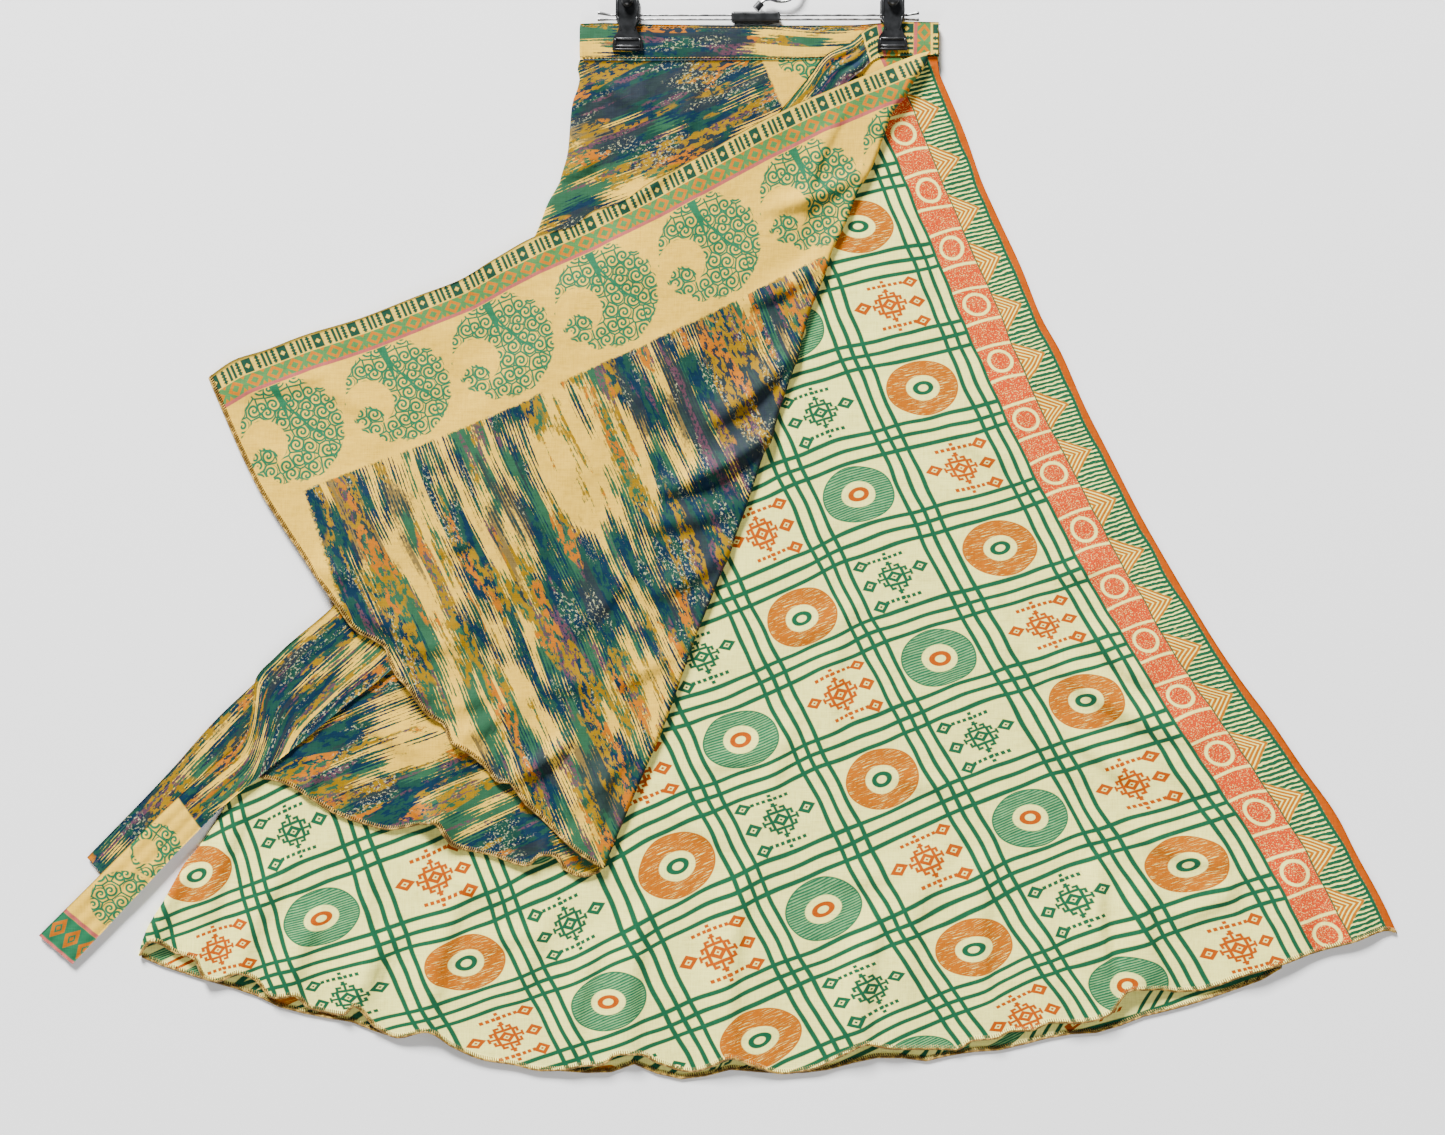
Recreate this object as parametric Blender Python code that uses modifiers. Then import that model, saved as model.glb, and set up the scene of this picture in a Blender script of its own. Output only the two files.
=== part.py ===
"""Wrap skirt of two printed layers, laid flat and still clipped to its hanger.

Blender 4.5, metres, +Z up. The skirt lies on the XY plane with its waistband towards +Y.
Every cloth piece is a sheet lofted through rows and thickened by a Solidify modifier.
Places on the skirt are given from the middle of the waist seam: across is +X, down is -Y.
"""

import math
from collections import namedtuple

import bpy
import numpy as np
from mathutils import Matrix, Vector

# Driving dimensions of the cloth
CLOTH = 0.0012
GAP = 0.0003
SEAM_GAP = 0.0006
FOLD_GAP = 0.0011
LAYER = CLOTH + GAP
BAND_THICKNESS = 0.0024
BAND_WIDTH = 0.034

# Heights of the stacked layers, from the surface up
BACK_TOP = CLOTH
INNER_UNDERSIDE = BACK_TOP + GAP
INNER_TOP = INNER_UNDERSIDE + CLOTH
OUTER_UNDERSIDE = INNER_TOP + GAP
OUTER_TOP = OUTER_UNDERSIDE + CLOTH
ON_INNER = OUTER_UNDERSIDE
ON_OUTER = OUTER_TOP + GAP
TIES_UNDER_FLAP = 2 * LAYER

# The skirt spreads like a fan: its sides meet at a point above the waist
SEAM_X = 0.0333
SEAM_Y = 0.4200
APEX_RISE = 0.3836
WAIST_HALF_ANGLE = 22.8
STRAIGHT_UNTIL = 0.660

# How a layer comes down past the edge of what it lies on
EDGE_MARGIN = 0.028
EDGE_FALL = 0.100
TIE_MARGIN = 0.078
TIE_FALL = 0.080

# The folds: half the height of the flap's fold, and the outer layer's lip over the left fold as
# pairs of a distance in from the edge and a height
FOLD_RADIUS = (GAP + TIES_UNDER_FLAP) / 2
LEFT_LIP = ((0.0, 0.0010), (0.0, 0.0029), (0.0005, 0.0039))
LEFT_FLAT_FROM = 0.0016
SMALL_FOLD_STEPS = 3
FLAP_FOLD_STEPS = 4

# The front comes down to the surface past the end of the hidden back
BACK_EDGE_MARGIN = 0.006
FREE_EDGE_STEP = 0.030
FREE_EDGE_FALL = 0.060

# Spacing of the points along a row, and the stations given to points of a narrow fold
STATION_STEP = 0.001
FLAT_STEP = 0.045
WAVE_STEP = 0.0100
BACK_HEM_STEP = 0.018
BORDER_STEP = 0.026

# A row for each section down the skirt: distance from the fan's point, rise over the clips'
# back jaws, and the angles from the centre line of the left fold, of the end of the hidden
# back, and of the free edge at the right.
SkirtRow = namedtuple("SkirtRow", "reach lift left back_end right")
SKIRT_ROWS = [
    SkirtRow(0.415, 0.0035, -22.8, 23.0, 23.7),
    SkirtRow(0.429, 0.0031, -22.0, 22.6, 23.3),
    SkirtRow(0.449, 0.0025, -21.6, 22.4, 23.2),
    SkirtRow(0.491, 0.0012, -20.4, 22.2, 23.2),
    SkirtRow(0.540, 0.0000, -20.3, 22.0, 22.95),
    SkirtRow(0.587, 0.0000, -20.7, 21.9, 22.95),
    SkirtRow(0.660, 0.0000, -21.3, 21.8, 23.1),
    SkirtRow(0.805, 0.0000, -22.3, 21.7, 23.55),
    SkirtRow(0.862, 0.0000, -22.65, 21.7, 23.8),
    SkirtRow(0.920, 0.0000, -23.0, 21.7, 24.15),
    SkirtRow(1.033, 0.0000, -23.7, 21.7, 24.95),
    SkirtRow(1.131, 0.0000, -24.3, 21.7, 25.9),
    SkirtRow(1.200, 0.0000, -24.6, 21.7, 26.4),
    SkirtRow(1.312, 0.0000, -25.2, 21.7, 26.5),
]

# A row for each section of the folded-back flap: distance from the fan's point, angle of the
# fold, and where the flap's printed border edge lies.
FoldRow = namedtuple("FoldRow", "reach fold border_across border_down")
FOLD_ROWS = [
    FoldRow(0.415, 22.4, 0.1480, 0.0015),
    FoldRow(0.429, 19.5, 0.1370, 0.0030),
    FoldRow(0.449, 16.1, 0.1240, 0.0060),
    FoldRow(0.491, 12.6, 0.0890, 0.0200),
    FoldRow(0.540, 8.8, 0.0450, 0.0380),
    FoldRow(0.587, 6.1, 0.0030, 0.0600),
    FoldRow(0.660, 3.2, -0.0620, 0.0940),
    FoldRow(0.805, -0.9, -0.1930, 0.1570),
    FoldRow(0.862, -2.3, -0.2700, 0.2020),
    FoldRow(0.920, -3.6, -0.3100, 0.2160),
    FoldRow(1.033, -5.5, -0.4080, 0.2500),
    FoldRow(1.131, -7.1, -0.5020, 0.2900),
]
FOLD_INWARD = Vector((-0.93, 0.36))

# The hems, a row for each fold's crest or trough: angle, distance from the fan's point, lift
HemRow = namedtuple("HemRow", "angle reach lift")
INNER_HEM = [
    HemRow(-25.2, 1.327, 0.0000),
    HemRow(-24.5, 1.315, 0.0010),
    HemRow(-23.2, 1.311, 0.0050),
    HemRow(-22.2, 1.325, 0.0010),
    HemRow(-20.9, 1.308, 0.0060),
    HemRow(-19.7, 1.320, 0.0000),
    HemRow(-18.8, 1.310, 0.0040),
    HemRow(-17.8, 1.319, 0.0000),
    HemRow(-16.4, 1.303, 0.0060),
    HemRow(-14.8, 1.321, 0.0000),
    HemRow(-13.3, 1.309, 0.0050),
    HemRow(-11.5, 1.321, 0.0010),
    HemRow(-8.7, 1.325, 0.0000),
    HemRow(-6.6, 1.313, 0.0030),
    HemRow(-4.9, 1.297, 0.0070),
    HemRow(-2.5, 1.312, 0.0010),
    HemRow(-0.9, 1.297, 0.0060),
    HemRow(1.2, 1.313, 0.0000),
    HemRow(3.0, 1.305, 0.0020),
    HemRow(4.5, 1.288, 0.0080),
    HemRow(6.4, 1.298, 0.0040),
    HemRow(8.2, 1.304, 0.0010),
    HemRow(10.3, 1.294, 0.0050),
    HemRow(13.6, 1.300, 0.0015),
    HemRow(15.6, 1.282, 0.0080),
    HemRow(18.3, 1.301, 0.0010),
    HemRow(21.2, 1.302, 0.0025),
    HemRow(23.1, 1.306, 0.0010),
    HemRow(24.8, 1.312, 0.0000),
    HemRow(26.5, 1.322, 0.0000),
]
BACK_HEM = [
    HemRow(-25.2, 1.327, 0.0),
    HemRow(-24.5, 1.333, 0.0),
    HemRow(-21.0, 1.323, 0.0),
    HemRow(-19.4, 1.326, 0.0),
    HemRow(-16.3, 1.319, 0.0),
    HemRow(-14.3, 1.321, 0.0),
    HemRow(-13.2, 1.305, 0.0),
    HemRow(-11.8, 1.316, 0.0),
    HemRow(-9.5, 1.318, 0.0),
    HemRow(-7.0, 1.322, 0.0),
    HemRow(-4.8, 1.309, 0.0),
    HemRow(-2.8, 1.319, 0.0),
    HemRow(-0.9, 1.309, 0.0),
    HemRow(1.5, 1.313, 0.0),
    HemRow(5.2, 1.303, 0.0),
    HemRow(7.2, 1.311, 0.0),
    HemRow(8.7, 1.307, 0.0),
    HemRow(10.3, 1.311, 0.0),
    HemRow(12.1, 1.306, 0.0),
    HemRow(14.2, 1.314, 0.0),
    HemRow(15.6, 1.310, 0.0),
    HemRow(17.5, 1.312, 0.0),
    HemRow(21.7, 1.309, 0.0),
]
OUTER_HEM = [
    HemRow(-24.3, 1.138, 0.0000),
    HemRow(-22.4, 1.132, 0.0012),
    HemRow(-19.8, 1.141, 0.0000),
    HemRow(-17.3, 1.139, 0.0004),
    HemRow(-15.1, 1.119, 0.0022),
    HemRow(-13.5, 1.139, 0.0004),
    HemRow(-12.3, 1.137, 0.0008),
    HemRow(-11.2, 1.142, 0.0000),
    HemRow(-9.7, 1.127, 0.0020),
    HemRow(-8.1, 1.142, 0.0004),
    HemRow(-7.1, 1.131, 0.0000),
]
WAVE_DEPTH = 0.110
INNER_HEM_SHARES = (0.3, 0.55, 0.78, 1.0)
INNER_WAVE_GROWTH = 1.6
OUTER_WAVE_GROWTH = 2.0
OUTER_HEM_SHARES = (0.45, 0.75, 1.0)

# The flap's hem, a row for each crest or trough: share of the way from the tip to the border,
# how far it reaches past an even curve, and its lift
FlapHemRow = namedtuple("FlapHemRow", "share push lift")
FLAP_HEM = [
    FlapHemRow(0.00, 0.0000, 0.0000),
    FlapHemRow(0.08, -0.0003, 0.0010),
    FlapHemRow(0.15, -0.0029, 0.0000),
    FlapHemRow(0.19, -0.0078, 0.0020),
    FlapHemRow(0.21, -0.0015, 0.0010),
    FlapHemRow(0.24, -0.0028, 0.0010),
    FlapHemRow(0.30, 0.0030, 0.0000),
    FlapHemRow(0.33, -0.0028, 0.0015),
    FlapHemRow(0.36, 0.0023, 0.0020),
    FlapHemRow(0.41, -0.0019, 0.0000),
    FlapHemRow(0.46, -0.0043, 0.0010),
    FlapHemRow(0.48, -0.0093, 0.0015),
    FlapHemRow(0.51, -0.0055, 0.0010),
    FlapHemRow(0.54, 0.0015, 0.0000),
    FlapHemRow(0.67, 0.0025, 0.0010),
    FlapHemRow(0.80, 0.0042, 0.0000),
    FlapHemRow(0.90, 0.0022, 0.0000),
    FlapHemRow(1.00, 0.0000, 0.0000),
]

# The waistband, a row for each section from the left fold to the right end
BandRow = namedtuple("BandRow", "across top bottom")
BAND_ROWS = [
    BandRow(-0.1615, 0.0335, 0.0000),
    BandRow(-0.1400, 0.0342, 0.0000),
    BandRow(-0.1000, 0.0330, 0.0000),
    BandRow(-0.0400, 0.0322, 0.0000),
    BandRow(0.0250, 0.0318, 0.0000),
    BandRow(0.0900, 0.0322, 0.0018),
    BandRow(0.1250, 0.0349, 0.0028),
    BandRow(0.1680, 0.0350, 0.0040),
]

# The ties, a row for each section along the strip: middle of the strip, its width, and its
# height over what it lies on
TieRow = namedtuple("TieRow", "across down width rise")
UPPER_TIE = [
    TieRow(0.1670, -0.0197, 0.0300, -0.0003),
    TieRow(0.1110, -0.0190, 0.0300, -0.0003),
    TieRow(0.0950, -0.0100, 0.0290, 0.0012),
    TieRow(0.0765, 0.0085, 0.0330, LAYER),
    TieRow(0.0600, 0.0300, 0.0390, LAYER),
    TieRow(-0.0600, 0.1720, 0.0420, LAYER),
    TieRow(-0.2600, 0.4090, 0.0620, LAYER),
    TieRow(-0.3590, 0.5260, 0.0790, LAYER),
    TieRow(-0.4090, 0.5710, 0.0780, LAYER),
    TieRow(-0.4370, 0.6030, 0.0610, LAYER),
    TieRow(-0.4530, 0.6310, 0.0400, LAYER),
    TieRow(-0.5120, 0.6890, 0.0400, LAYER),
    TieRow(-0.6130, 0.7870, 0.0400, 0.0004),
    TieRow(-0.6420, 0.8160, 0.0400, -0.0008),
]
LOWER_TIE = [
    TieRow(0.0880, 0.0120, 0.0220, 0.0),
    TieRow(0.0800, 0.0230, 0.0330, 0.0),
    TieRow(0.0660, 0.0400, 0.0390, 0.0),
    TieRow(-0.0600, 0.1780, 0.0400, 0.0),
    TieRow(-0.2600, 0.4070, 0.0400, 0.0),
    TieRow(-0.3910, 0.5340, 0.0400, 0.0),
    TieRow(-0.4600, 0.6020, 0.0400, 0.0),
    TieRow(-0.6010, 0.7480, 0.0400, -0.0010),
]
TIE_STEP = 0.024
TIE_CELLS = 3

# The hanger: two wires, two sliding clips, a saddle and a swivel hook
WIRE_RADIUS = 0.0011
WIRE_SPACING = 0.0038
WIRE_DOWN = -0.0395
WIRE_HEIGHT = 0.0060
WIRE_LEFT = -0.1444
WIRE_RIGHT = 0.1504
WIRE_FLARE = 0.0020
WIRE_BEAD = 1.5
WIRE_BEND = 0.012
WIRE_BEAD_LENGTH = 0.0018
BORE_CLEARANCE = 0.0003
BORE_LENGTH = 0.080
BORE_VERTICES = 16
CLIP_ACROSS = {"left": -0.1168, "right": 0.1256}
JAW_THICKNESS = 0.0025
BACK_JAW_THICKNESS = 0.0020
JAW_TILT = math.radians(6.0)
JAW_TIP_DOWN = -0.0083
# Half the outline of a jaw, a row for each turn: distance up from the tip, half width
JawRow = namedtuple("JawRow", "up half_width")
JAW_OUTLINE = [
    JawRow(0.0000, 0.0130),
    JawRow(0.0010, 0.0139),
    JawRow(0.0060, 0.0136),
    JawRow(0.0120, 0.0126),
    JawRow(0.0165, 0.0092),
    JawRow(0.0210, 0.0078),
    JawRow(0.0250, 0.0082),
    JawRow(0.0285, 0.0104),
    JawRow(0.0320, 0.0108),
    JawRow(0.0470, 0.0106),
    JawRow(0.0505, 0.0088),
    JawRow(0.0525, 0.0050),
]
SLIDER_SIZE = (0.0130, 0.0084)
RIVET_UP = 0.0445
RIVET_RADIUS = 0.0055
RIVET_HEIGHT = 0.0034
RIVET_STEPS = 5
RIVET_TURN_STEPS = 16
SADDLE_SIZE = (0.0450, 0.0096, 0.0085)
SADDLE_ACROSS = 0.0005
SADDLE_ROUNDING = 0.0022
BOSS_RADIUS = 0.0036
BOSS_LENGTH = 0.0075
BOSS_VERTICES = 20
HOOK_LEAN = math.radians(42.0)
HOOK_WIRE_RADIUS = 0.0015
HOOK_BEND_RADIUS = 0.0190
HOOK_BEND_HEIGHT = 0.0270
HOOK_BEND_FROM = -60.0
HOOK_BEND_TO = 200.0
HOOK_BEND_STEPS = 22
HOOK_STEM = ((0.0, 0.0), (0.0006, 0.0040), (0.0040, 0.0080))

# Small edges
WELD_DISTANCE = 0.00001
ROUNDING_SEGMENTS = 2
ROUNDED_FROM = math.radians(50.0)

# Colours in linear values, roughness and metallic value
LOOKS = {
    "inner_print": ((0.78, 0.72, 0.45), 0.80, 0.0),
    "outer_print": ((0.16, 0.22, 0.20), 0.75, 0.0),
    "band_print": ((0.20, 0.26, 0.22), 0.75, 0.0),
    "tie_print": ((0.42, 0.38, 0.16), 0.75, 0.0),
    "black_plastic": ((0.020, 0.021, 0.022), 0.38, 0.0),
    "chrome_wire": ((0.62, 0.62, 0.60), 0.22, 1.0),
}


def clear_scene():
    for item in list(bpy.data.objects):
        bpy.data.objects.remove(item, do_unlink=True)


def make_collection(name):
    collection = bpy.data.collections.new(name)
    bpy.context.scene.collection.children.link(collection)
    return collection


def make_material(name):
    colour, roughness, metallic = LOOKS[name]
    material = bpy.data.materials.new(name)
    material.use_nodes = True
    shader = material.node_tree.nodes["Principled BSDF"]
    shader.inputs["Base Color"].default_value = (*colour, 1.0)
    shader.inputs["Roughness"].default_value = roughness
    shader.inputs["Metallic"].default_value = metallic
    return material


def on_skirt(across, down, height=0.0):
    """The world place of a point given from the middle of the waist seam."""
    return Vector((SEAM_X + across, SEAM_Y - down, height))


def on_fan(angle, reach, height=0.0):
    """The world place of a point given by its angle and distance from the fan's point."""
    turn = math.radians(angle)
    return on_skirt(reach * math.sin(turn), reach * math.cos(turn) - APEX_RISE, height)


def column(rows, field):
    return [getattr(row, field) for row in rows]


def read_row(rows, key, value, field):
    """A table's field at a value of its key, straight between rows."""
    return float(np.interp(value, column(rows, key), column(rows, field)))


def read_wave(rows, key, value, field):
    """A table's field at a value of its key, easing from each row to the next."""
    keys = column(rows, key)
    place = float(np.interp(value, keys, range(len(keys))))
    step = min(int(place), len(rows) - 2)
    ease = 0.5 - 0.5 * math.cos(math.pi * (place - step))
    start = getattr(rows[step], field)
    end = getattr(rows[step + 1], field)
    return start + (end - start) * ease


def ease_down(distance, margin, fall):
    """One up to the margin, then an S curve down to zero at the end of the fall."""
    share = min(max((distance - margin) / fall, 0.0), 1.0)
    return 1.0 - share * share * (3.0 - 2.0 * share)


def band_bottom(across):
    return read_row(BAND_ROWS, "across", across, "bottom")


def row_reach(angle, reach):
    """A row's own distance at an angle: straight like the seam at the waist, round below."""
    first = SKIRT_ROWS[0].reach
    straightness = min(max((STRAIGHT_UNTIL - reach) / (STRAIGHT_UNTIL - first), 0.0), 1.0)
    widening = math.cos(math.radians(WAIST_HALF_ANGLE)) / math.cos(math.radians(angle))
    own = reach * widening ** straightness
    if reach > first:
        return own
    turn = math.radians(angle)
    seam = APEX_RISE + SEAM_GAP - band_bottom(own * math.sin(turn))
    return seam / math.cos(turn)


def lift_at(point):
    """How far the clips' back jaws raise the layers over a point near the waist."""
    across = point.x - SEAM_X
    down = SEAM_Y - point.y
    angle = math.degrees(math.atan2(across, down + APEX_RISE))
    reach = math.hypot(across, down + APEX_RISE)
    reaches = [row_reach(angle, row.reach) for row in SKIRT_ROWS]
    return float(np.interp(reach, reaches, column(SKIRT_ROWS, "lift")))


def spread(start, end, step_length, length):
    """Even values from start to end, about one for each step of a length."""
    return list(np.linspace(start, end, max(int(round(length / step_length)), 1) + 1))


def distance_to_run(point, start, end):
    side = (end - start).xy
    offset = (point - start).xy
    share = min(max(offset.dot(side) / side.length_squared, 0.0), 1.0)
    return (offset - side * share).length


def distance_outside(point, outline):
    """How far a point lies outside a closed outline, zero inside it."""
    inside = False
    nearest = math.inf
    for start, end in zip(outline, outline[1:] + outline[:1]):
        side = (end - start).xy
        offset = (point - start).xy
        share = min(max(offset.dot(side) / max(side.length_squared, 1e-12), 0.0), 1.0)
        nearest = min(nearest, (offset - side * share).length)
        if (start.y > point.y) != (end.y > point.y):
            crossing = start.x + (point.y - start.y) / (end.y - start.y) * (end.x - start.x)
            inside = inside != (crossing > point.x)
    return 0.0 if inside else nearest


def fan_outline(rows, right_field, hem):
    """The outline of one skirt layer as it shows, from the band's top edge to its hem."""
    above = BAND_WIDTH + APEX_RISE
    left = [on_fan(read_row(SKIRT_ROWS, "reach", row.reach, "left"), row.reach)
            for row in rows[:-1]]
    right = [on_fan(getattr(row, right_field), row.reach) for row in rows[:-1]]
    low = [on_fan(row.angle, row.reach) for row in hem]
    top_left = on_skirt(left[0].x - SEAM_X, APEX_RISE - above)
    top_right = on_skirt(BAND_ROWS[-1].across, APEX_RISE - above)
    return [top_left] + left + low + right[::-1] + [top_right]


OUTER_OUTLINE = fan_outline(FOLD_ROWS, "fold", OUTER_HEM)
INNER_OUTLINE = fan_outline(SKIRT_ROWS, "right", INNER_HEM)


def resting_height(point):
    """The height of what a tie or the flap lies on: outer skirt, inner skirt or the surface."""
    past_outer = distance_outside(point, OUTER_OUTLINE)
    past_inner = distance_outside(point, INNER_OUTLINE)
    on_outer = ON_OUTER * ease_down(past_outer, EDGE_MARGIN, EDGE_FALL)
    on_inner = ON_INNER * ease_down(past_inner, EDGE_MARGIN, EDGE_FALL)
    return lift_at(point) + max(on_outer, on_inner)


def tie_middle(rows):
    return [on_skirt(row.across, row.down) for row in rows]


def flap_height(point):
    """The flap's underside: above both ties near them, and down with them past the skirt."""
    over_skirt = ease_down(distance_outside(point, OUTER_OUTLINE), EDGE_MARGIN, EDGE_FALL)
    line = tie_middle(UPPER_TIE)
    near = min(distance_to_run(point, start, end) for start, end in zip(line, line[1:]))
    over_ties = ease_down(near, TIE_MARGIN, TIE_FALL)
    return resting_height(point) + TIES_UNDER_FLAP * max(over_skirt, over_ties)


def stitch(faces, upper, lower, flipped):
    """Join two rows of (station, vertex) with triangles, taking the nearer station each time."""
    high = 0
    low = 0
    while high < len(upper) - 1 or low < len(lower) - 1:
        high_next = upper[high + 1][0] if high < len(upper) - 1 else math.inf
        low_next = lower[low + 1][0] if low < len(lower) - 1 else math.inf
        if high_next <= low_next:
            face = (upper[high][1], lower[low][1], upper[high + 1][1])
            high += 1
        else:
            face = (upper[high][1], lower[low][1], lower[low + 1][1])
            low += 1
        faces.append(face[::-1] if flipped else face)


def make_sheet(name, rows, thickness, material, collection, flipped=False):
    """A cloth wall lofted through rows of (station, point), thickened on its outward side."""
    points = []
    numbered = []
    for row in rows:
        numbered.append([(station, len(points) + place) for place, (station, _) in enumerate(row)])
        points.extend(point for _, point in row)
    faces = []
    for upper, lower in zip(numbered, numbered[1:]):
        stitch(faces, upper, lower, flipped)
    mesh = bpy.data.meshes.new(name)
    mesh.from_pydata(points, [], faces)
    mesh.materials.append(material)
    mesh.shade_smooth()
    sheet = bpy.data.objects.new(name, mesh)
    collection.objects.link(sheet)
    solidify = sheet.modifiers.new("cloth", "SOLIDIFY")
    solidify.thickness = thickness
    solidify.offset = 1.0
    return sheet


def fold_turn(centre, outward, radius, low_height, high_height, steps):
    """Points of a half turn from a lower layer up to the one folded over it."""
    middle = (low_height + high_height) / 2
    half = (high_height - low_height) / 2
    turn = []
    for step in range(1, steps):
        swing = math.pi * step / steps
        place = centre + outward * (radius * math.sin(swing))
        turn.append(Vector((place.x, place.y, middle - half * math.cos(swing))))
    return turn


def inner_row(nominal, share, front_step, back_step):
    """One row of the inner skirt: the hidden back from its end to the left fold, then the front."""
    left = read_row(SKIRT_ROWS, "reach", nominal, "left")
    right = read_row(SKIRT_ROWS, "reach", nominal, "right")
    back_end = read_row(SKIRT_ROWS, "reach", nominal, "back_end")
    lift = read_row(SKIRT_ROWS, "reach", nominal, "lift")
    last_flat = SKIRT_ROWS[-2].reach

    def reach_at(angle, hem):
        if share == 0.0:
            return row_reach(angle, nominal)
        return last_flat + (read_wave(hem, "angle", angle, "reach") - last_flat) * share

    width = math.radians(back_end - left) * nominal
    inset = math.degrees((CLOTH + FOLD_GAP + CLOTH + GAP / 2) / nominal)
    edge = left + inset
    row = []
    for angle in spread(back_end, edge, back_step, width):
        station = (left - angle) / (back_end - left)
        row.append((station, on_fan(angle, reach_at(angle, BACK_HEM), BACK_TOP + lift)))
    centre = on_fan(edge, reach_at(edge, BACK_HEM))
    turn = math.radians(left)
    outward = Vector((-math.cos(turn), -math.sin(turn), 0.0))
    curl = fold_turn(centre, outward, GAP / 2, BACK_TOP + lift, INNER_UNDERSIDE + lift,
                     SMALL_FOLD_STEPS)
    first = row[-1][0]
    row.extend((first * (1 - (place + 1) / SMALL_FOLD_STEPS), point)
               for place, point in enumerate(curl))

    shelf = back_end + math.degrees(BACK_EDGE_MARGIN / nominal)
    flat = spread(edge, min(shelf, right), front_step, width)
    free_width = math.radians(max(right - shelf, 0.0)) * nominal
    free = []
    if shelf < right:
        free = spread(shelf, right, min(front_step, FREE_EDGE_STEP), free_width)[1:]
    for angle in flat + free:
        beyond = math.radians(max(angle - shelf, 0.0)) * nominal
        settle = INNER_UNDERSIDE * (1.0 - ease_down(beyond, 0.0, FREE_EDGE_FALL))
        wave = read_wave(INNER_HEM, "angle", angle, "lift") * share ** INNER_WAVE_GROWTH
        height = INNER_UNDERSIDE + lift - settle + wave
        place = on_fan(angle, reach_at(angle, INNER_HEM), height)
        row.append(((angle - left) / (right - left), place))
    return row


def make_inner_skirt(collection):
    """The plaid layer, folded once at the left: the hidden back below, the front above."""
    rows = [inner_row(row.reach, 0.0, FLAT_STEP, FLAT_STEP) for row in SKIRT_ROWS[:-2]]
    first_wave = SKIRT_ROWS[-2].reach
    rows.append(inner_row(first_wave, 0.0, WAVE_STEP, FLAT_STEP))
    for share in INNER_HEM_SHARES:
        nominal = first_wave + WAVE_DEPTH * share
        back_step = BACK_HEM_STEP if share == 1.0 else FLAT_STEP
        rows.append(inner_row(nominal, share, WAVE_STEP, back_step))
    material = make_material("inner_print")
    return make_sheet("inner_skirt_panel", rows, CLOTH, material, collection)


def arc_between(start, end, radius, share):
    """A point on an arc that bulges away from the waist, between two plan points."""
    side = (end - start).xy
    bulge = side.length_squared / (8 * radius)
    outward = Vector((-side.y, side.x)).normalized()
    if outward.y > 0:
        outward = -outward
    place = start.xy + side * share + outward * (4 * bulge * share * (1 - share))
    return Vector((place.x, place.y, 0.0)), outward


def outer_row(nominal, share, step):
    """One row of the outer skirt: over the left fold, flat to its own fold, then the flap."""
    left = read_row(SKIRT_ROWS, "reach", nominal, "left")
    fold = read_row(FOLD_ROWS, "reach", nominal, "fold")
    lift = read_row(SKIRT_ROWS, "reach", nominal, "lift")
    last_flat = FOLD_ROWS[-2].reach

    def reach_at(angle):
        if share == 0.0:
            return row_reach(angle, nominal)
        return last_flat + (read_wave(OUTER_HEM, "angle", angle, "reach") - last_flat) * share

    row = []
    for place, (inset, height) in enumerate(LEFT_LIP):
        angle = left + math.degrees(inset / nominal)
        station = (place - len(LEFT_LIP)) * STATION_STEP
        row.append((station, on_fan(angle, reach_at(angle), height + lift)))
    edge = left + math.degrees(LEFT_FLAT_FROM / nominal)

    fold_inset = CLOTH + FOLD_RADIUS
    fold_width = math.radians(fold - left) * nominal
    fold_edge = fold - math.degrees(fold_inset / nominal)
    for angle in spread(edge, fold_edge, step, fold_width):
        wave = read_wave(OUTER_HEM, "angle", angle, "lift") * share ** OUTER_WAVE_GROWTH
        station = (angle - left) / (fold - left)
        row.append((station, on_fan(angle, reach_at(angle), OUTER_TOP + lift + wave)))

    corner = row[-1][1]
    flap_start = corner.z - lift + GAP + TIES_UNDER_FLAP
    outward = Vector((-FOLD_INWARD.x, -FOLD_INWARD.y, 0.0))
    turn = fold_turn(corner, outward, FOLD_RADIUS, corner.z, flap_start + lift, FLAP_FOLD_STEPS)
    row.extend((1.0 + (place + 1) * STATION_STEP, point) for place, point in enumerate(turn))

    border_across = read_row(FOLD_ROWS, "reach", nominal, "border_across")
    border_down = read_row(FOLD_ROWS, "reach", nominal, "border_down")
    border = on_skirt(border_across, border_down)
    flap_width = (border - corner).xy.length
    for along in spread(0.0, 1.0, min(step, BORDER_STEP), flap_width):
        place, outward = arc_between(corner, border, nominal, along)
        push = read_wave(FLAP_HEM, "share", along, "push") * share
        place += Vector((outward.x, outward.y, 0.0)) * push
        wave = read_wave(FLAP_HEM, "share", along, "lift") * share ** OUTER_WAVE_GROWTH
        place.z = flap_height(place) + wave
        row.append((1.0 + (FLAP_FOLD_STEPS + 1) * STATION_STEP + along, place))
    return row


def make_outer_skirt(collection):
    """The brush-stroke layer: flat over the plaid, then folded back to the left as a flap."""
    rows = [outer_row(row.reach, 0.0, FLAT_STEP) for row in FOLD_ROWS[:-1]]
    start = FOLD_ROWS[-2].reach
    depth = FOLD_ROWS[-1].reach - start
    rows.extend(outer_row(start + depth * share, share, 2 * WAVE_STEP) for share in OUTER_HEM_SHARES)
    material = make_material("outer_print")
    return make_sheet("outer_skirt_panel", rows, CLOTH, material, collection, flipped=True)


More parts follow.
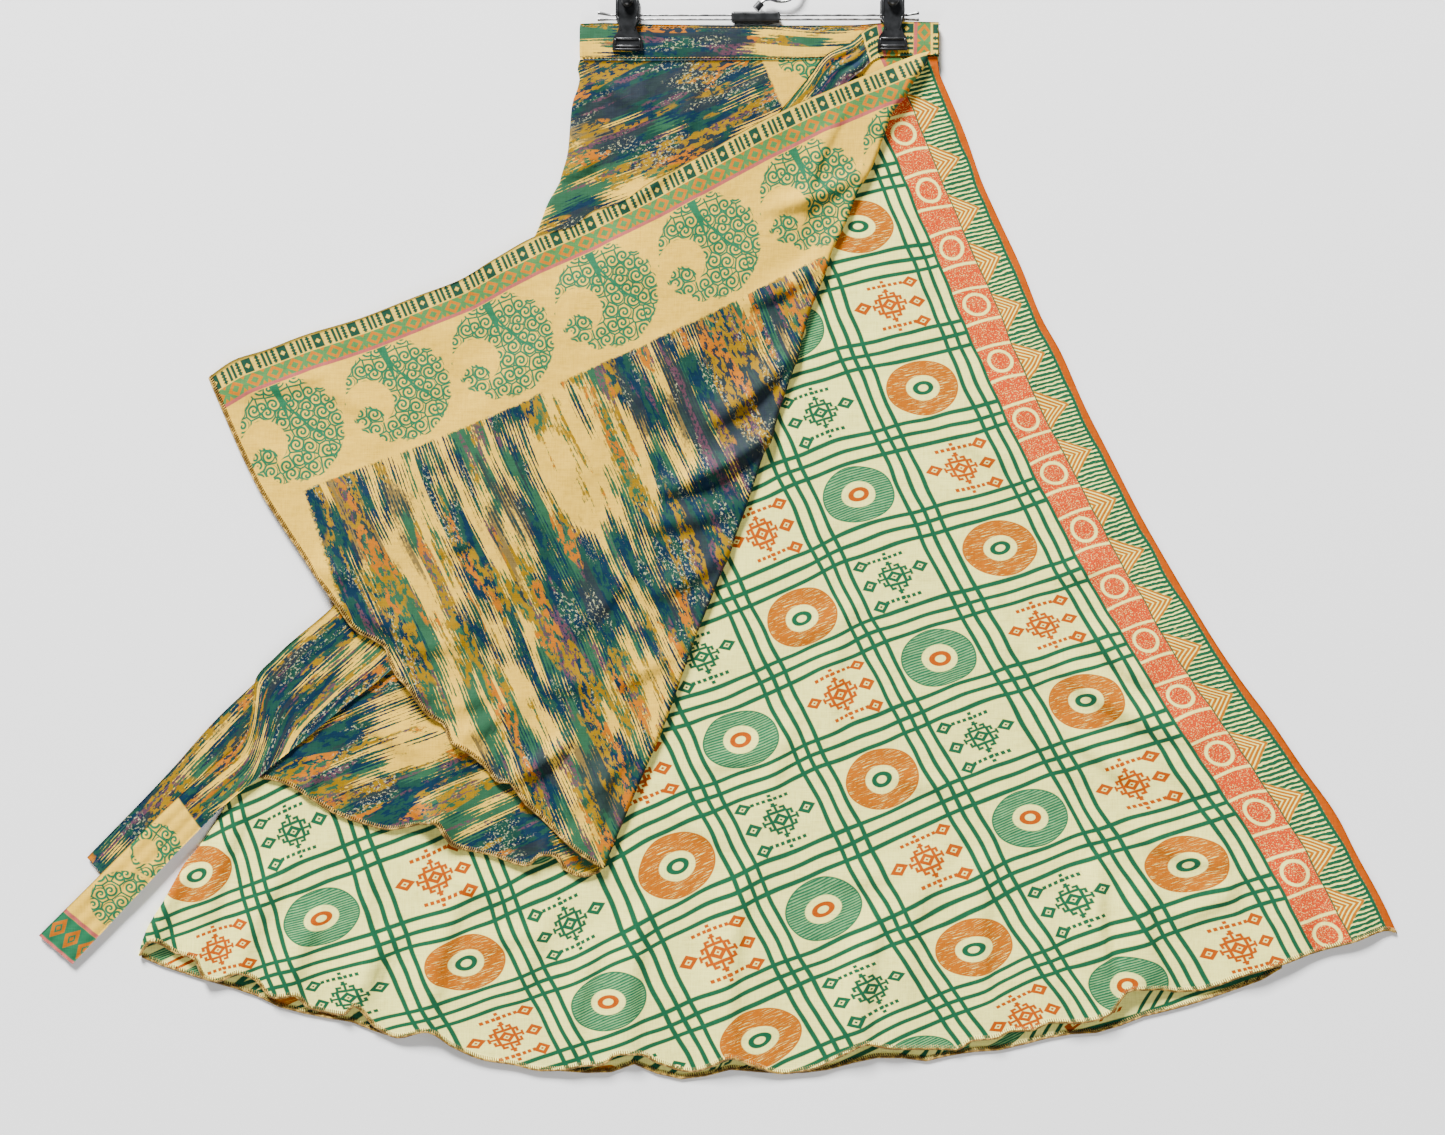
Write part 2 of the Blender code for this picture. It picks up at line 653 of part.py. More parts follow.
def make_waistband(collection):
    """The band, folded once at the left: the back below and the front above."""
    lift = SKIRT_ROWS[0].lift
    low = BACK_TOP + lift
    high = INNER_UNDERSIDE + lift
    fold_in = BAND_THICKNESS + GAP / 2
    rows = []
    for edge in ("top", "bottom"):
        row = []
        for place, section in enumerate(reversed(BAND_ROWS)):
            across = max(section.across, BAND_ROWS[0].across + fold_in)
            row.append((place, on_skirt(across, -getattr(section, edge), low)))
        corner = row[-1][1]
        turn = fold_turn(corner, Vector((-1.0, 0.0, 0.0)), GAP / 2, low, high,
                         SMALL_FOLD_STEPS)
        row.extend((len(row) + step, point) for step, point in enumerate(turn))
        for section in BAND_ROWS:
            across = max(section.across, BAND_ROWS[0].across + fold_in)
            row.append((len(row), on_skirt(across, -getattr(section, edge), high)))
        rows.append(row)
    material = make_material("band_print")
    return make_sheet("waistband", rows, BAND_THICKNESS, material, collection)


def smooth_path(rows, step):
    """Sections along a strip, read from a smooth curve through its rows."""
    fields = np.array([list(row) for row in rows])
    ends = np.vstack([2 * fields[0] - fields[1], fields, 2 * fields[-1] - fields[-2]])
    sections = []
    for place in range(len(rows) - 1):
        before, start, end, after = ends[place:place + 4]
        length = math.hypot(*(end - start)[:2])
        for share in spread(0.0, 1.0, step, length)[:-1]:
            square = share * share
            cube = square * share
            middle = 0.5 * (2 * start + (end - before) * share
                            + (2 * before - 5 * start + 4 * end - after) * square
                            + (3 * start - before - 3 * end + after) * cube)
            straight = start + (end - start) * share
            sections.append(TieRow(middle[0], middle[1], straight[2], straight[3]))
    sections.append(rows[-1])
    return sections


def make_tie(name, rows, collection, material):
    """A folded strip of cloth lying over the skirt and past its side."""
    sections = smooth_path(rows, TIE_STEP)
    line = tie_middle(sections)
    strip = []
    for place, section in enumerate(sections):
        ahead = line[min(place + 1, len(line) - 1)] - line[max(place - 1, 0)]
        side = Vector((ahead.y, -ahead.x, 0.0)).normalized()
        row = []
        for cell in range(TIE_CELLS + 1):
            offset = (0.5 - cell / TIE_CELLS) * section.width
            point = line[place] + side * offset
            point.z = resting_height(point) + section.rise
            row.append((cell, point))
        strip.append(row)
    return make_sheet(name, strip, CLOTH, material, collection)


def make_wire(name, points, radius, widths, collection, material):
    """A round wire along points, each with its own share of the radius."""
    curve = bpy.data.curves.new(name, "CURVE")
    curve.dimensions = "3D"
    curve.bevel_depth = radius
    curve.bevel_resolution = 2
    curve.use_fill_caps = True
    spline = curve.splines.new("POLY")
    spline.points.add(len(points) - 1)
    for knot, point, width in zip(spline.points, points, widths):
        knot.co = (*point, 1.0)
        knot.radius = width
    curve.materials.append(material)
    wire = bpy.data.objects.new(name, curve)
    collection.objects.link(wire)
    return wire


def add_rounding(item, width):
    weld = item.modifiers.new("weld", "WELD")
    weld.merge_threshold = WELD_DISTANCE
    bevel = item.modifiers.new("rounding", "BEVEL")
    bevel.width = width
    bevel.segments = ROUNDING_SEGMENTS
    bevel.limit_method = "ANGLE"
    bevel.angle_limit = ROUNDED_FROM


def make_box(name, size, centre, collection, material, rounding):
    """A box with rounded edges."""
    bpy.ops.mesh.primitive_cube_add(size=1.0)
    box = bpy.context.object
    box.name = name
    box.data.name = name
    box.data.transform(Matrix.Diagonal((*size, 1.0)))
    box.location = centre
    box.data.materials.append(material)
    move_to(box, collection)
    if rounding > 0.0:
        add_rounding(box, rounding)
    return box


def move_to(item, collection):
    for owner in list(item.users_collection):
        owner.objects.unlink(item)
    collection.objects.link(item)


def bore_for_wires(item, cutters):
    """Cut the two holes through which the bar's wires pass."""
    for place in (-0.5, 0.5):
        bpy.ops.mesh.primitive_cylinder_add(
            vertices=BORE_VERTICES, radius=WIRE_RADIUS + BORE_CLEARANCE, depth=BORE_LENGTH)
        bore = bpy.context.object
        bore.name = f"{item.name}_bore_{'low' if place < 0 else 'high'}"
        bore.rotation_euler = (0.0, math.pi / 2, 0.0)
        bore.location = (item.location.x, wire_y(place), WIRE_HEIGHT)
        bore.hide_render = True
        bore.display_type = "WIRE"
        move_to(bore, cutters)
        cut = item.modifiers.new(bore.name, "BOOLEAN")
        cut.operation = "DIFFERENCE"
        cut.object = bore


def wire_y(place):
    return on_skirt(0.0, WIRE_DOWN).y + place * WIRE_SPACING


def make_bar(collection):
    """The two wires of the bar with beaded ends, the upper one bent away a little."""
    material = make_material("chrome_wire")
    left = SEAM_X + WIRE_LEFT
    right = SEAM_X + WIRE_RIGHT
    for name, place, flare in (("hanger_bar_wire_low", -0.5, 0.0),
                               ("hanger_bar_wire_high", 0.5, WIRE_FLARE)):
        straight = wire_y(place)
        flared = straight + flare
        along = [left, left + WIRE_BEAD_LENGTH, left + WIRE_BEND,
                 right - WIRE_BEND, right - WIRE_BEAD_LENGTH, right]
        across = [flared, flared, straight, straight, flared, flared]
        points = [Vector((x, y, WIRE_HEIGHT)) for x, y in zip(along, across)]
        widths = [WIRE_BEAD, WIRE_BEAD, 1.0, 1.0, WIRE_BEAD, WIRE_BEAD]
        make_wire(name, points, WIRE_RADIUS, widths, collection, material)
    return material


def make_jaw(name, thickness, collection, material):
    """A flat jaw: its outline filled and thickened, tip at the origin and handle towards +Y."""
    curve = bpy.data.curves.new(name, "CURVE")
    curve.dimensions = "2D"
    curve.fill_mode = "BOTH"
    curve.extrude = thickness / 2
    outline = [(row.half_width, row.up) for row in JAW_OUTLINE]
    outline += [(-row.half_width, row.up) for row in reversed(JAW_OUTLINE)]
    spline = curve.splines.new("POLY")
    spline.points.add(len(outline) - 1)
    for knot, (x, y) in zip(spline.points, outline):
        knot.co = (x, y, 0.0, 1.0)
    spline.use_cyclic_u = True
    curve.materials.append(material)
    jaw = bpy.data.objects.new(name, curve)
    collection.objects.link(jaw)
    return jaw


def make_rivet(name, collection, material):
    """A domed cap, turned around its own axis."""
    points = []
    for step in range(RIVET_STEPS + 1):
        swing = math.pi / 2 * step / RIVET_STEPS
        points.append(Vector((RIVET_RADIUS * math.sin(swing), 0.0,
                              RIVET_HEIGHT * math.cos(swing))))
    points.append(Vector((0.0, 0.0, 0.0)))
    mesh = bpy.data.meshes.new(name)
    mesh.from_pydata(points, [(n, n + 1) for n in range(len(points) - 1)], [])
    mesh.materials.append(material)
    rivet = bpy.data.objects.new(name, mesh)
    collection.objects.link(rivet)
    screw = rivet.modifiers.new("turn", "SCREW")
    screw.steps = RIVET_TURN_STEPS
    screw.render_steps = RIVET_TURN_STEPS
    screw.use_merge_vertices = True
    screw.merge_threshold = WELD_DISTANCE
    return rivet


def make_clip(side, grip_height, collection, cutters, plastic):
    """One sliding clip: a back jaw on the surface, a slider on the wires and a tilted front jaw."""
    tip = on_skirt(CLIP_ACROSS[side], JAW_TIP_DOWN)
    back = make_jaw(f"clip_{side}_back_jaw", BACK_JAW_THICKNESS, collection, plastic)
    back.location = (tip.x, tip.y, BACK_JAW_THICKNESS / 2)

    frame = bpy.data.objects.new(f"clip_{side}_tilt", None)
    collection.objects.link(frame)
    frame.location = (tip.x, tip.y, grip_height)
    frame.rotation_euler = (JAW_TILT, 0.0, 0.0)
    front = make_jaw(f"clip_{side}_front_jaw", JAW_THICKNESS, collection, plastic)
    front.parent = frame
    front.location = (0.0, 0.0, JAW_THICKNESS / 2)
    rivet = make_rivet(f"clip_{side}_rivet", collection, plastic)
    rivet.parent = frame
    rivet.location = (0.0, RIVET_UP, JAW_THICKNESS + GAP)

    half_slider = SLIDER_SIZE[1] / 2
    near_side = on_skirt(0.0, WIRE_DOWN).y - half_slider - tip.y
    low = BACK_JAW_THICKNESS + GAP
    high = grip_height + near_side * math.tan(JAW_TILT) - GAP
    centre = (tip.x, on_skirt(0.0, WIRE_DOWN).y, (low + high) / 2)
    size = (*SLIDER_SIZE, high - low)
    slider = make_box(f"clip_{side}_slider", size, centre, collection, plastic, 0.0)
    bore_for_wires(slider, cutters)


def make_saddle(collection, cutters, plastic):
    """The block in the middle of the bar, with the boss that carries the hook."""
    centre = on_skirt(SADDLE_ACROSS, WIRE_DOWN, WIRE_HEIGHT)
    saddle = make_box("hanger_saddle", SADDLE_SIZE, centre, collection, plastic,
                      SADDLE_ROUNDING)
    bore_for_wires(saddle, cutters)

    lean = Vector((math.sin(HOOK_LEAN), math.cos(HOOK_LEAN), 0.0))
    top = centre.y + SADDLE_SIZE[1] / 2 + GAP
    low_corner = BOSS_RADIUS * math.sin(HOOK_LEAN)
    base = Vector((centre.x, top + low_corner, WIRE_HEIGHT))
    middle = base + lean * (BOSS_LENGTH / 2)
    bpy.ops.mesh.primitive_cylinder_add(
        vertices=BOSS_VERTICES, radius=BOSS_RADIUS, depth=BOSS_LENGTH)
    boss = bpy.context.object
    boss.name = "hanger_hook_boss"
    boss.location = middle
    boss.rotation_euler = (-math.pi / 2, 0.0, -HOOK_LEAN)
    boss.data.materials.append(plastic)
    boss.data.shade_smooth()
    boss.data.set_sharp_from_angle(angle=ROUNDED_FROM)
    move_to(boss, collection)
    return base + lean * (BOSS_LENGTH + GAP)


def make_hook(start, collection, material):
    """The swivel hook: a short stem that swings out into a round bend, lying on its side."""
    upright = [Vector((x, y)) for x, y in HOOK_STEM]
    for step in range(HOOK_BEND_STEPS + 1):
        share = step / HOOK_BEND_STEPS
        angle = HOOK_BEND_FROM + (HOOK_BEND_TO - HOOK_BEND_FROM) * share
        turn = math.radians(angle)
        upright.append(Vector((HOOK_BEND_RADIUS * math.cos(turn),
                               HOOK_BEND_HEIGHT + HOOK_BEND_RADIUS * math.sin(turn))))
    spin = Matrix.Rotation(-HOOK_LEAN, 2)
    points = []
    for place in upright:
        turned = spin @ place
        points.append(start + Vector((turned.x, turned.y, 0.0)))
    make_wire("hanger_hook", points, HOOK_WIRE_RADIUS, [1.0] * len(points), collection, material)


def build():
    clear_scene()
    skirt = make_collection("wrap_skirt_on_clip_hanger")
    cutters = make_collection("cutters")
    make_inner_skirt(skirt)
    make_outer_skirt(skirt)
    make_waistband(skirt)
    tie_material = make_material("tie_print")
    make_tie("tie_lower", LOWER_TIE, skirt, tie_material)
    make_tie("tie_upper", UPPER_TIE, skirt, tie_material)
    plastic = make_material("black_plastic")
    steel = make_bar(skirt)
    band_top = INNER_UNDERSIDE + SKIRT_ROWS[0].lift + BAND_THICKNESS
    make_clip("left", band_top + GAP, skirt, cutters, plastic)
    make_clip("right", band_top + 2 * GAP + CLOTH, skirt, cutters, plastic)
    hook_start = make_saddle(skirt, cutters, plastic)
    make_hook(hook_start, skirt, steel)


build()
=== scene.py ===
"""Looks of the wrap skirt: printed cloth laid flat, with its ties and clip hanger.

Metres, +Z up, seen from straight above. Places that were read from the photograph are in its own
pixels and go through at_pixel(). Heights are in metres above the surface.
"""

import math
from collections import namedtuple

import bpy
import numpy as np
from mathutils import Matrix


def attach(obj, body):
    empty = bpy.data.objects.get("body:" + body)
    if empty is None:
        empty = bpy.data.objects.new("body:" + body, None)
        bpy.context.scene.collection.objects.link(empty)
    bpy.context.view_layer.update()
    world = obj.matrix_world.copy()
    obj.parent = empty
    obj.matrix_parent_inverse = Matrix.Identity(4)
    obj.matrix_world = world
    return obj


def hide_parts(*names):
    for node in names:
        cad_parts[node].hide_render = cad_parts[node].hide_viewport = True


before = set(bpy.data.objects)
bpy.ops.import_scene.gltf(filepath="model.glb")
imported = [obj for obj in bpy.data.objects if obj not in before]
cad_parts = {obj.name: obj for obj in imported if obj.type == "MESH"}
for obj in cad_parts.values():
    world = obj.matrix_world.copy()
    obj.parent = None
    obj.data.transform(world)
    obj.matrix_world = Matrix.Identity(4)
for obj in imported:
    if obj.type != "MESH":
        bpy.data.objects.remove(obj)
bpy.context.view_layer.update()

# The photograph's scale, the prints' unit in its pixels and in metres, and the middle of the
# waist seam in both
PIXEL = 0.00092
PRINT_PIXELS = 100.0
PRINT_UNIT = PRINT_PIXELS * PIXEL
SEAM_PIXEL = (755.0, 62.0)
SEAM = (0.0333, 0.4200)
PHOTO_CENTRE = (722.5, 567.5)
PHOTO_WIDTH = 1445

# The stacked layers' thickness, the gap between them, and their heights, as in the solids
CLOTH = 0.0012
GAP = 0.0003
LAYER = CLOTH + GAP
BACK_TOP = CLOTH
INNER_LOW = BACK_TOP + GAP
INNER_TOP = INNER_LOW + CLOTH
OUTER_LOW = INNER_TOP + GAP
OUTER_TOP = OUTER_LOW + CLOTH
TIES_UNDER_FLAP = 2 * LAYER
BAND_THICKNESS = 0.0024

# The skirt spreads like a fan from a point above the waist
APEX_PIXEL = (755.0, -355.0)
WAIST_REACH = 0.415
WAIST_HALF_ANGLE = 22.8

# How a layer comes down past the edge of what it lies on
EDGE_MARGIN = 0.028
EDGE_FALL = 0.100

# The clips' back jaws raise the layers near the waist: distance from the fan's point and rise
LIFT_REACH = (0.415, 0.429, 0.449, 0.491, 0.540)
LIFT = (0.0035, 0.0031, 0.0025, 0.0012, 0.0)
LIFT_STEPS = 23
# The right clip presses the layers flat about this place, and no more from a distance on
CLIP_PRESS = (0.1589, 0.4490)
PRESSED_UNTIL = 0.027
FREE_FROM = 0.055


def rows_of(kind, rows):
    """A table's rows with their columns named."""
    return [kind(*row) for row in rows]


# Outlines read from the photograph
Place = namedtuple("Place", "x y")
LEFT_EDGE = rows_of(Place, [
    (580, 62), (578, 71), (580, 80), (578, 90), (573, 104), (571, 120), (570, 142), (561, 180),
    (548, 204), (538, 230), (500, 300), (435, 430), (350, 580), (275, 720), (220, 816),
    (202, 844), (187, 863), (177, 883), (166, 904), (155, 923), (146, 939), (140, 955),
])
RIGHT_EDGE = rows_of(Place, [
    (936, 56), (938, 73), (943, 85), (950, 101), (955, 112), (966, 139), (981, 181), (999, 221),
    (1020, 266), (1041, 318), (1060, 352), (1084, 406), (1106, 449), (1137, 510), (1171, 570),
    (1212, 638), (1241, 681), (1265, 713), (1304, 770), (1334, 812), (1356, 854), (1384, 906),
    (1396, 932),
])
INNER_HEM = rows_of(Place, [
    (140, 955), (156, 939), (176, 951), (197, 957), (206, 976), (220, 980), (240, 971),
    (254, 976), (276, 996), (295, 993), (311, 1007), (345, 1013), (356, 1003), (376, 1025),
    (399, 1036), (427, 1029), (454, 1045), (484, 1058), (515, 1063), (542, 1069), (563, 1068),
    (579, 1064), (603, 1062), (619, 1051), (640, 1051), (657, 1060), (692, 1070), (707, 1066),
    (732, 1055), (749, 1062), (784, 1072), (810, 1068), (849, 1049), (864, 1041), (890, 1046),
    (933, 1047), (957, 1048), (971, 1039), (997, 1035), (1007, 1029), (1028, 1029),
    (1052, 1020), (1080, 1020), (1107, 1012), (1121, 993), (1129, 987), (1161, 987),
    (1173, 990), (1195, 989), (1246, 972), (1284, 961), (1312, 951), (1350, 941), (1387, 929),
    (1396, 931),
])
BACK_HEM = rows_of(Place, [
    (140, 957), (176, 969), (220, 983), (250, 991), (275, 1004), (319, 1015), (354, 1021),
    (399, 1037), (427, 1027), (455, 1045), (515, 1062), (579, 1071), (606, 1072), (629, 1062),
    (663, 1074), (688, 1078), (734, 1068), (772, 1072), (810, 1071), (868, 1058), (890, 1055),
    (920, 1060), (965, 1051), (997, 1049), (1042, 1038), (1068, 1033), (1100, 1031),
    (1137, 1017), (1181, 1006), (1232, 989), (1267, 976), (1282, 966),
])
OUTER_HEM = rows_of(Place, [
    (244, 772), (260, 776), (280, 780), (303, 791), (336, 812), (364, 822), (391, 828),
    (410, 825), (435, 820), (456, 845), (491, 853), (527, 864), (543, 853), (555, 854),
    (566, 868), (582, 875), (598, 871), (604, 866),
])
FLAP_HEM = rows_of(Place, [
    (604, 866), (585, 854), (560, 833), (543, 817), (526, 801), (516, 786), (511, 780),
    (502, 781), (486, 765), (465, 748), (454, 741), (447, 725), (429, 713), (410, 686),
    (399, 674), (392, 661), (389, 649), (378, 640), (360, 631), (339, 604), (309, 562),
    (284, 525), (261, 489), (244, 455), (222, 405), (210, 377),
])
FLAP_BORDER = rows_of(Place, [
    (928, 56), (915, 59), (861, 80), (808, 102), (754, 128), (701, 158), (647, 187), (620, 205),
    (594, 212), (573, 228), (540, 236), (497, 259), (461, 281), (418, 297), (360, 319),
    (306, 335), (264, 351), (236, 360), (210, 377),
])
FLAP_FOLD = rows_of(Place, [
    (928, 56), (919, 73), (910, 85), (904, 97), (890, 115), (884, 132), (872, 166), (857, 192),
    (845, 224), (831, 253), (822, 280), (808, 316), (795, 361), (769, 437), (741, 520),
    (717, 583), (693, 643), (663, 726), (640, 780), (617, 835), (604, 866),
])


def shares_of(count):
    """Even shares from zero to one, in a number of steps."""
    return np.linspace(0.0, 1.0, count + 1)


def between(start, end, share):
    """What lies at a share of the way from a start to an end."""
    return (1 - share) * start + share * end


def run_along(line):
    """How far each point of a line lies from its start, along the line."""
    return np.concatenate([[0.0], np.cumsum(np.linalg.norm(np.diff(line, axis=0), axis=1))])


def unit(vectors):
    """Vectors of length one."""
    return vectors / np.maximum(np.linalg.norm(vectors, axis=-1, keepdims=True), 1e-12)


def at_pixel(x, y):
    """Plan coordinates of a place in the photograph; works on arrays."""
    return (SEAM[0] + (np.asarray(x, float) - SEAM_PIXEL[0]) * PIXEL,
            SEAM[1] - (np.asarray(y, float) - SEAM_PIXEL[1]) * PIXEL)


def to_pixel(x, y):
    """The photograph's pixel of a place in plan; works on arrays."""
    return (SEAM_PIXEL[0] + (np.asarray(x, float) - SEAM[0]) / PIXEL,
            SEAM_PIXEL[1] - (np.asarray(y, float) - SEAM[1]) / PIXEL)


APEX = at_pixel(*APEX_PIXEL)


def on_fan(angle, reach):
    """Plan coordinates of an angle in degrees and a distance from the fan's point."""
    turn = np.radians(angle)
    return APEX[0] + reach * np.sin(turn), APEX[1] - reach * np.cos(turn)


def to_fan(x, y):
    """The angle in degrees and the distance from the fan's point, of places in plan."""
    across = np.asarray(x, float) - APEX[0]
    down = APEX[1] - np.asarray(y, float)
    return np.degrees(np.arctan2(across, down)), np.hypot(across, down)


def plan_of(places):
    """An outline's places as an array of plan coordinates."""
    x, y = at_pixel([place.x for place in places], [place.y for place in places])
    return np.stack([x, y], -1)


def curve_through(keys, values, at):
    """A smooth curve through values at ascending keys, read at any places without overshoot."""
    keys = np.asarray(keys, float)
    values = np.asarray(values, float)
    at = np.clip(at, keys[0], keys[-1])
    step = np.diff(keys)
    slope = np.diff(values) / step
    tangent = np.zeros(len(keys))
    same = slope[:-1] * slope[1:] > 0
    blend = 2 * slope[:-1] * slope[1:] / np.where(same, slope[:-1] + slope[1:], 1.0)
    tangent[1:-1] = np.where(same, blend, 0.0)
    tangent[0] = slope[0]
    tangent[-1] = slope[-1]
    place = np.clip(np.searchsorted(keys, at, side="right") - 1, 0, len(step) - 1)
    width = step[place]
    share = (at - keys[place]) / width
    square = share * share
    cube = square * share
    return ((2 * cube - 3 * square + 1) * values[place]
            + (cube - 2 * square + share) * width * tangent[place]
            + (3 * square - 2 * cube) * values[place + 1]
            + (cube - square) * width * tangent[place + 1])


def along_outline(places, shares):
    """Points at shares of the length of an outline, from a smooth curve through it."""
    plan = plan_of(places)
    run = run_along(plan)
    return np.stack([curve_through(run / run[-1], plan[:, axis], shares) for axis in (0, 1)], -1)


def smooth_step(value, low, high):
    """A soft rise from zero to one between two values."""
    share = np.clip((value - low) / (high - low), 0.0, 1.0)
    return share * share * (3.0 - 2.0 * share)


def ease_down(apart, margin, fall):
    """One up to a margin, then softly down to zero over a fall."""
    return 1.0 - smooth_step(apart, margin, margin + fall)


def distance_to_line(x, y, line):
    """How far points lie from a broken line of plan points."""
    nearest = np.full(np.shape(x), np.inf)
    for start, end in zip(line[:-1], line[1:]):
        side = end - start
        offset_x = x - start[0]
        offset_y = y - start[1]
        share = (offset_x * side[0] + offset_y * side[1]) / max(float(side @ side), 1e-12)
        share = np.clip(share, 0.0, 1.0)
        apart = np.hypot(offset_x - side[0] * share, offset_y - side[1] * share)
        nearest = np.minimum(nearest, apart)
    return nearest


def inside_outline(x, y, line):
    """Which points lie inside a closed outline."""
    inside = np.zeros(np.shape(x), bool)
    for start, end in zip(line, np.roll(line, -1, axis=0)):
        crosses = (start[1] > y) != (end[1] > y)
        rise = end[1] - start[1]
        if abs(rise) < 1e-12:
            continue
        crossing = start[0] + (y - start[1]) / rise * (end[0] - start[0])
        inside ^= crosses & (crossing > x)
    return inside


def distance_outside(x, y, line):
    """How far points lie outside a closed outline, none inside it."""
    closed = np.vstack([line, line[:1]])
    return np.where(inside_outline(x, y, line), 0.0, distance_to_line(x, y, closed))


# The random lattice's cells, and where in them the plan's middle lies
NOISE_CELLS = 64
NOISE_START = 1000.0


def value_noise(x, y, size, seed):
    """Smooth random values from -1 to 1 with features of a size in metres."""
    lattice = np.random.RandomState(seed).uniform(-1.0, 1.0, (NOISE_CELLS, NOISE_CELLS))
    across = np.asarray(x, float) / size + NOISE_START
    down = np.asarray(y, float) / size + NOISE_START
    column = np.floor(across).astype(int)
    row = np.floor(down).astype(int)
    ease_x = smooth_step(across - column, 0.0, 1.0)
    ease_y = smooth_step(down - row, 0.0, 1.0)

    def corner(right, below):
        return lattice[(row + below) % NOISE_CELLS, (column + right) % NOISE_CELLS]

    above = between(corner(0, 0), corner(1, 0), ease_x)
    below = between(corner(0, 1), corner(1, 1), ease_x)
    return between(above, below, ease_y)


# Soft creases: both ends in pixels, width to each side and height in metres
Crease = namedtuple("Crease", "x0 y0 x1 y1 width height")
# Their form: the bow, where the steep side looks, the sides' widths and the ends' taper
CREASE_BOW = 0.06
STEEP_TOWARDS = (0.86, 0.5)
STEEP_WIDTH = 0.55
SOFT_WIDTH = 1.5
CREASE_TAPER = 0.8


def crease_height(x, y, creases):
    """The height that a list of creases adds: steep on one side, soft on the other."""
    total = np.zeros(np.shape(x))
    for crease in creases:
        start, end = plan_of([Place(crease.x0, crease.y0), Place(crease.x1, crease.y1)])
        side = end - start
        length = float(np.hypot(*side))
        along_x, along_y = side / length
        offset_x = x - start[0]
        offset_y = y - start[1]
        share = np.clip((offset_x * along_x + offset_y * along_y) / length, 0.0, 1.0)
        arch = np.sin(np.pi * share)
        across = offset_x * along_y - offset_y * along_x - CREASE_BOW * length * arch
        steep = across * (along_x * STEEP_TOWARDS[0] + along_y * STEEP_TOWARDS[1]) > 0
        width = crease.width * np.where(steep, STEEP_WIDTH, SOFT_WIDTH)
        taper = np.clip(arch, 0.0, 1.0) ** CREASE_TAPER
        total += crease.height * taper * np.exp(-(across / width) ** 2)
    return total


# Both layers seen from above, up to the band's top corners
BAND_CORNERS = [Place(938, 24), Place(579, 24)]
OUTER_LEFT_EDGE = [place for place in LEFT_EDGE if place.y < OUTER_HEM[0].y]
OUTER_OUTLINE = plan_of(OUTER_HEM + FLAP_FOLD[::-1] + BAND_CORNERS + OUTER_LEFT_EDGE)
INNER_OUTLINE = plan_of(INNER_HEM + RIGHT_EDGE[::-1] + BAND_CORNERS + LEFT_EDGE)


def lift_at(x, y):
    """How far the clips' back jaws raise the layers over places near the waist."""
    angle, reach = to_fan(x, y)
    shares = shares_of(LIFT_STEPS)
    spread = LIFT_REACH[-1] - LIFT_REACH[0]
    waist = WAIST_REACH * math.cos(math.radians(WAIST_HALF_ANGLE)) / np.cos(np.radians(angle))
    lifts = np.interp(LIFT_REACH[0] + spread * shares, LIFT_REACH, LIFT)
    return np.interp((reach - waist) / spread, shares, lifts)


def resting_height(x, y):
    """The height of what a tie or the flap lies on: outer skirt, inner skirt or the surface."""
    past_outer = distance_outside(x, y, OUTER_OUTLINE)
    past_inner = distance_outside(x, y, INNER_OUTLINE)
    on_outer = (OUTER_TOP + GAP) * ease_down(past_outer, EDGE_MARGIN, EDGE_FALL)
    on_inner = OUTER_LOW * ease_down(past_inner, EDGE_MARGIN, EDGE_FALL)
    return lift_at(x, y) + np.maximum(on_outer, on_inner)


# The map for baking: its width, where both sides start and how high they are, and the rim
ATLAS_ACROSS = (0.01, 0.99)
ATLAS_SIDES = (0.02, 0.49)
ATLAS_SIDE_HEIGHT = 0.45
ATLAS_RIM = (0.960, 0.985)


def grid_normals(base):
    """Unit normals of a grid of points, up where rows go down and columns go right."""
    along = np.gradient(base, axis=1)
    down = np.gradient(base, axis=0)
    normal = np.cross(down, along)
    length = np.linalg.norm(normal, axis=-1, keepdims=True)
    return np.where(length > 1e-14, normal / np.maximum(length, 1e-14), (0.0, 0.0, 1.0))


def add_object(name, data):
    """A new object in the scene."""
    item = bpy.data.objects.new(name, data)
    bpy.context.scene.collection.objects.link(item)
    return item


def add_piece(name, mesh, material):
    """A smooth piece that stays with the whole object."""
    mesh.shade_smooth()
    mesh.materials.append(material)
    piece = add_object(name, mesh)
    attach(piece, "root")
    return piece


def make_shell(name, base, thickness, cloth, material):
    """A closed thin wall on a grid of points, thickened to one side, with its cloth places."""
    rows, columns = base.shape[:2]
    count = rows * columns
    thickness = np.broadcast_to(thickness, (rows, columns))
    far = base + grid_normals(base) * thickness[..., None]
    index = np.arange(count).reshape(rows, columns)
    quads = np.stack([index[:-1, :-1], index[1:, :-1], index[1:, 1:], index[:-1, 1:]], -1)
    quads = quads.reshape(-1, 4)
    loop = np.concatenate([index[0, :], index[1:, -1], index[-1, -2::-1], index[-2:0:-1, 0]])
    after = np.roll(loop, -1)
    rim = np.stack([loop, after, after + count, loop + count], -1)
    near_face, far_face = quads[:, ::-1], quads + count
    if float(thickness.mean()) < 0.0:
        near_face, far_face, rim = near_face[:, ::-1], far_face[:, ::-1], rim[:, ::-1]
    faces = np.concatenate([near_face, far_face, rim])
    points = np.concatenate([base.reshape(-1, 3), far.reshape(-1, 3)])
    mesh = bpy.data.meshes.new(name)
    mesh.from_pydata(points.tolist(), [], faces.tolist())
    place = mesh.attributes.new("cloth", "FLOAT_VECTOR", "POINT")
    both = np.tile(cloth.reshape(-1, 3), (2, 1))
    place.data.foreach_set("vector", both.astype(np.float32).ravel())
    lay_out_atlas(mesh, rows, columns, len(quads), len(rim))
    return add_piece(name, mesh, material)


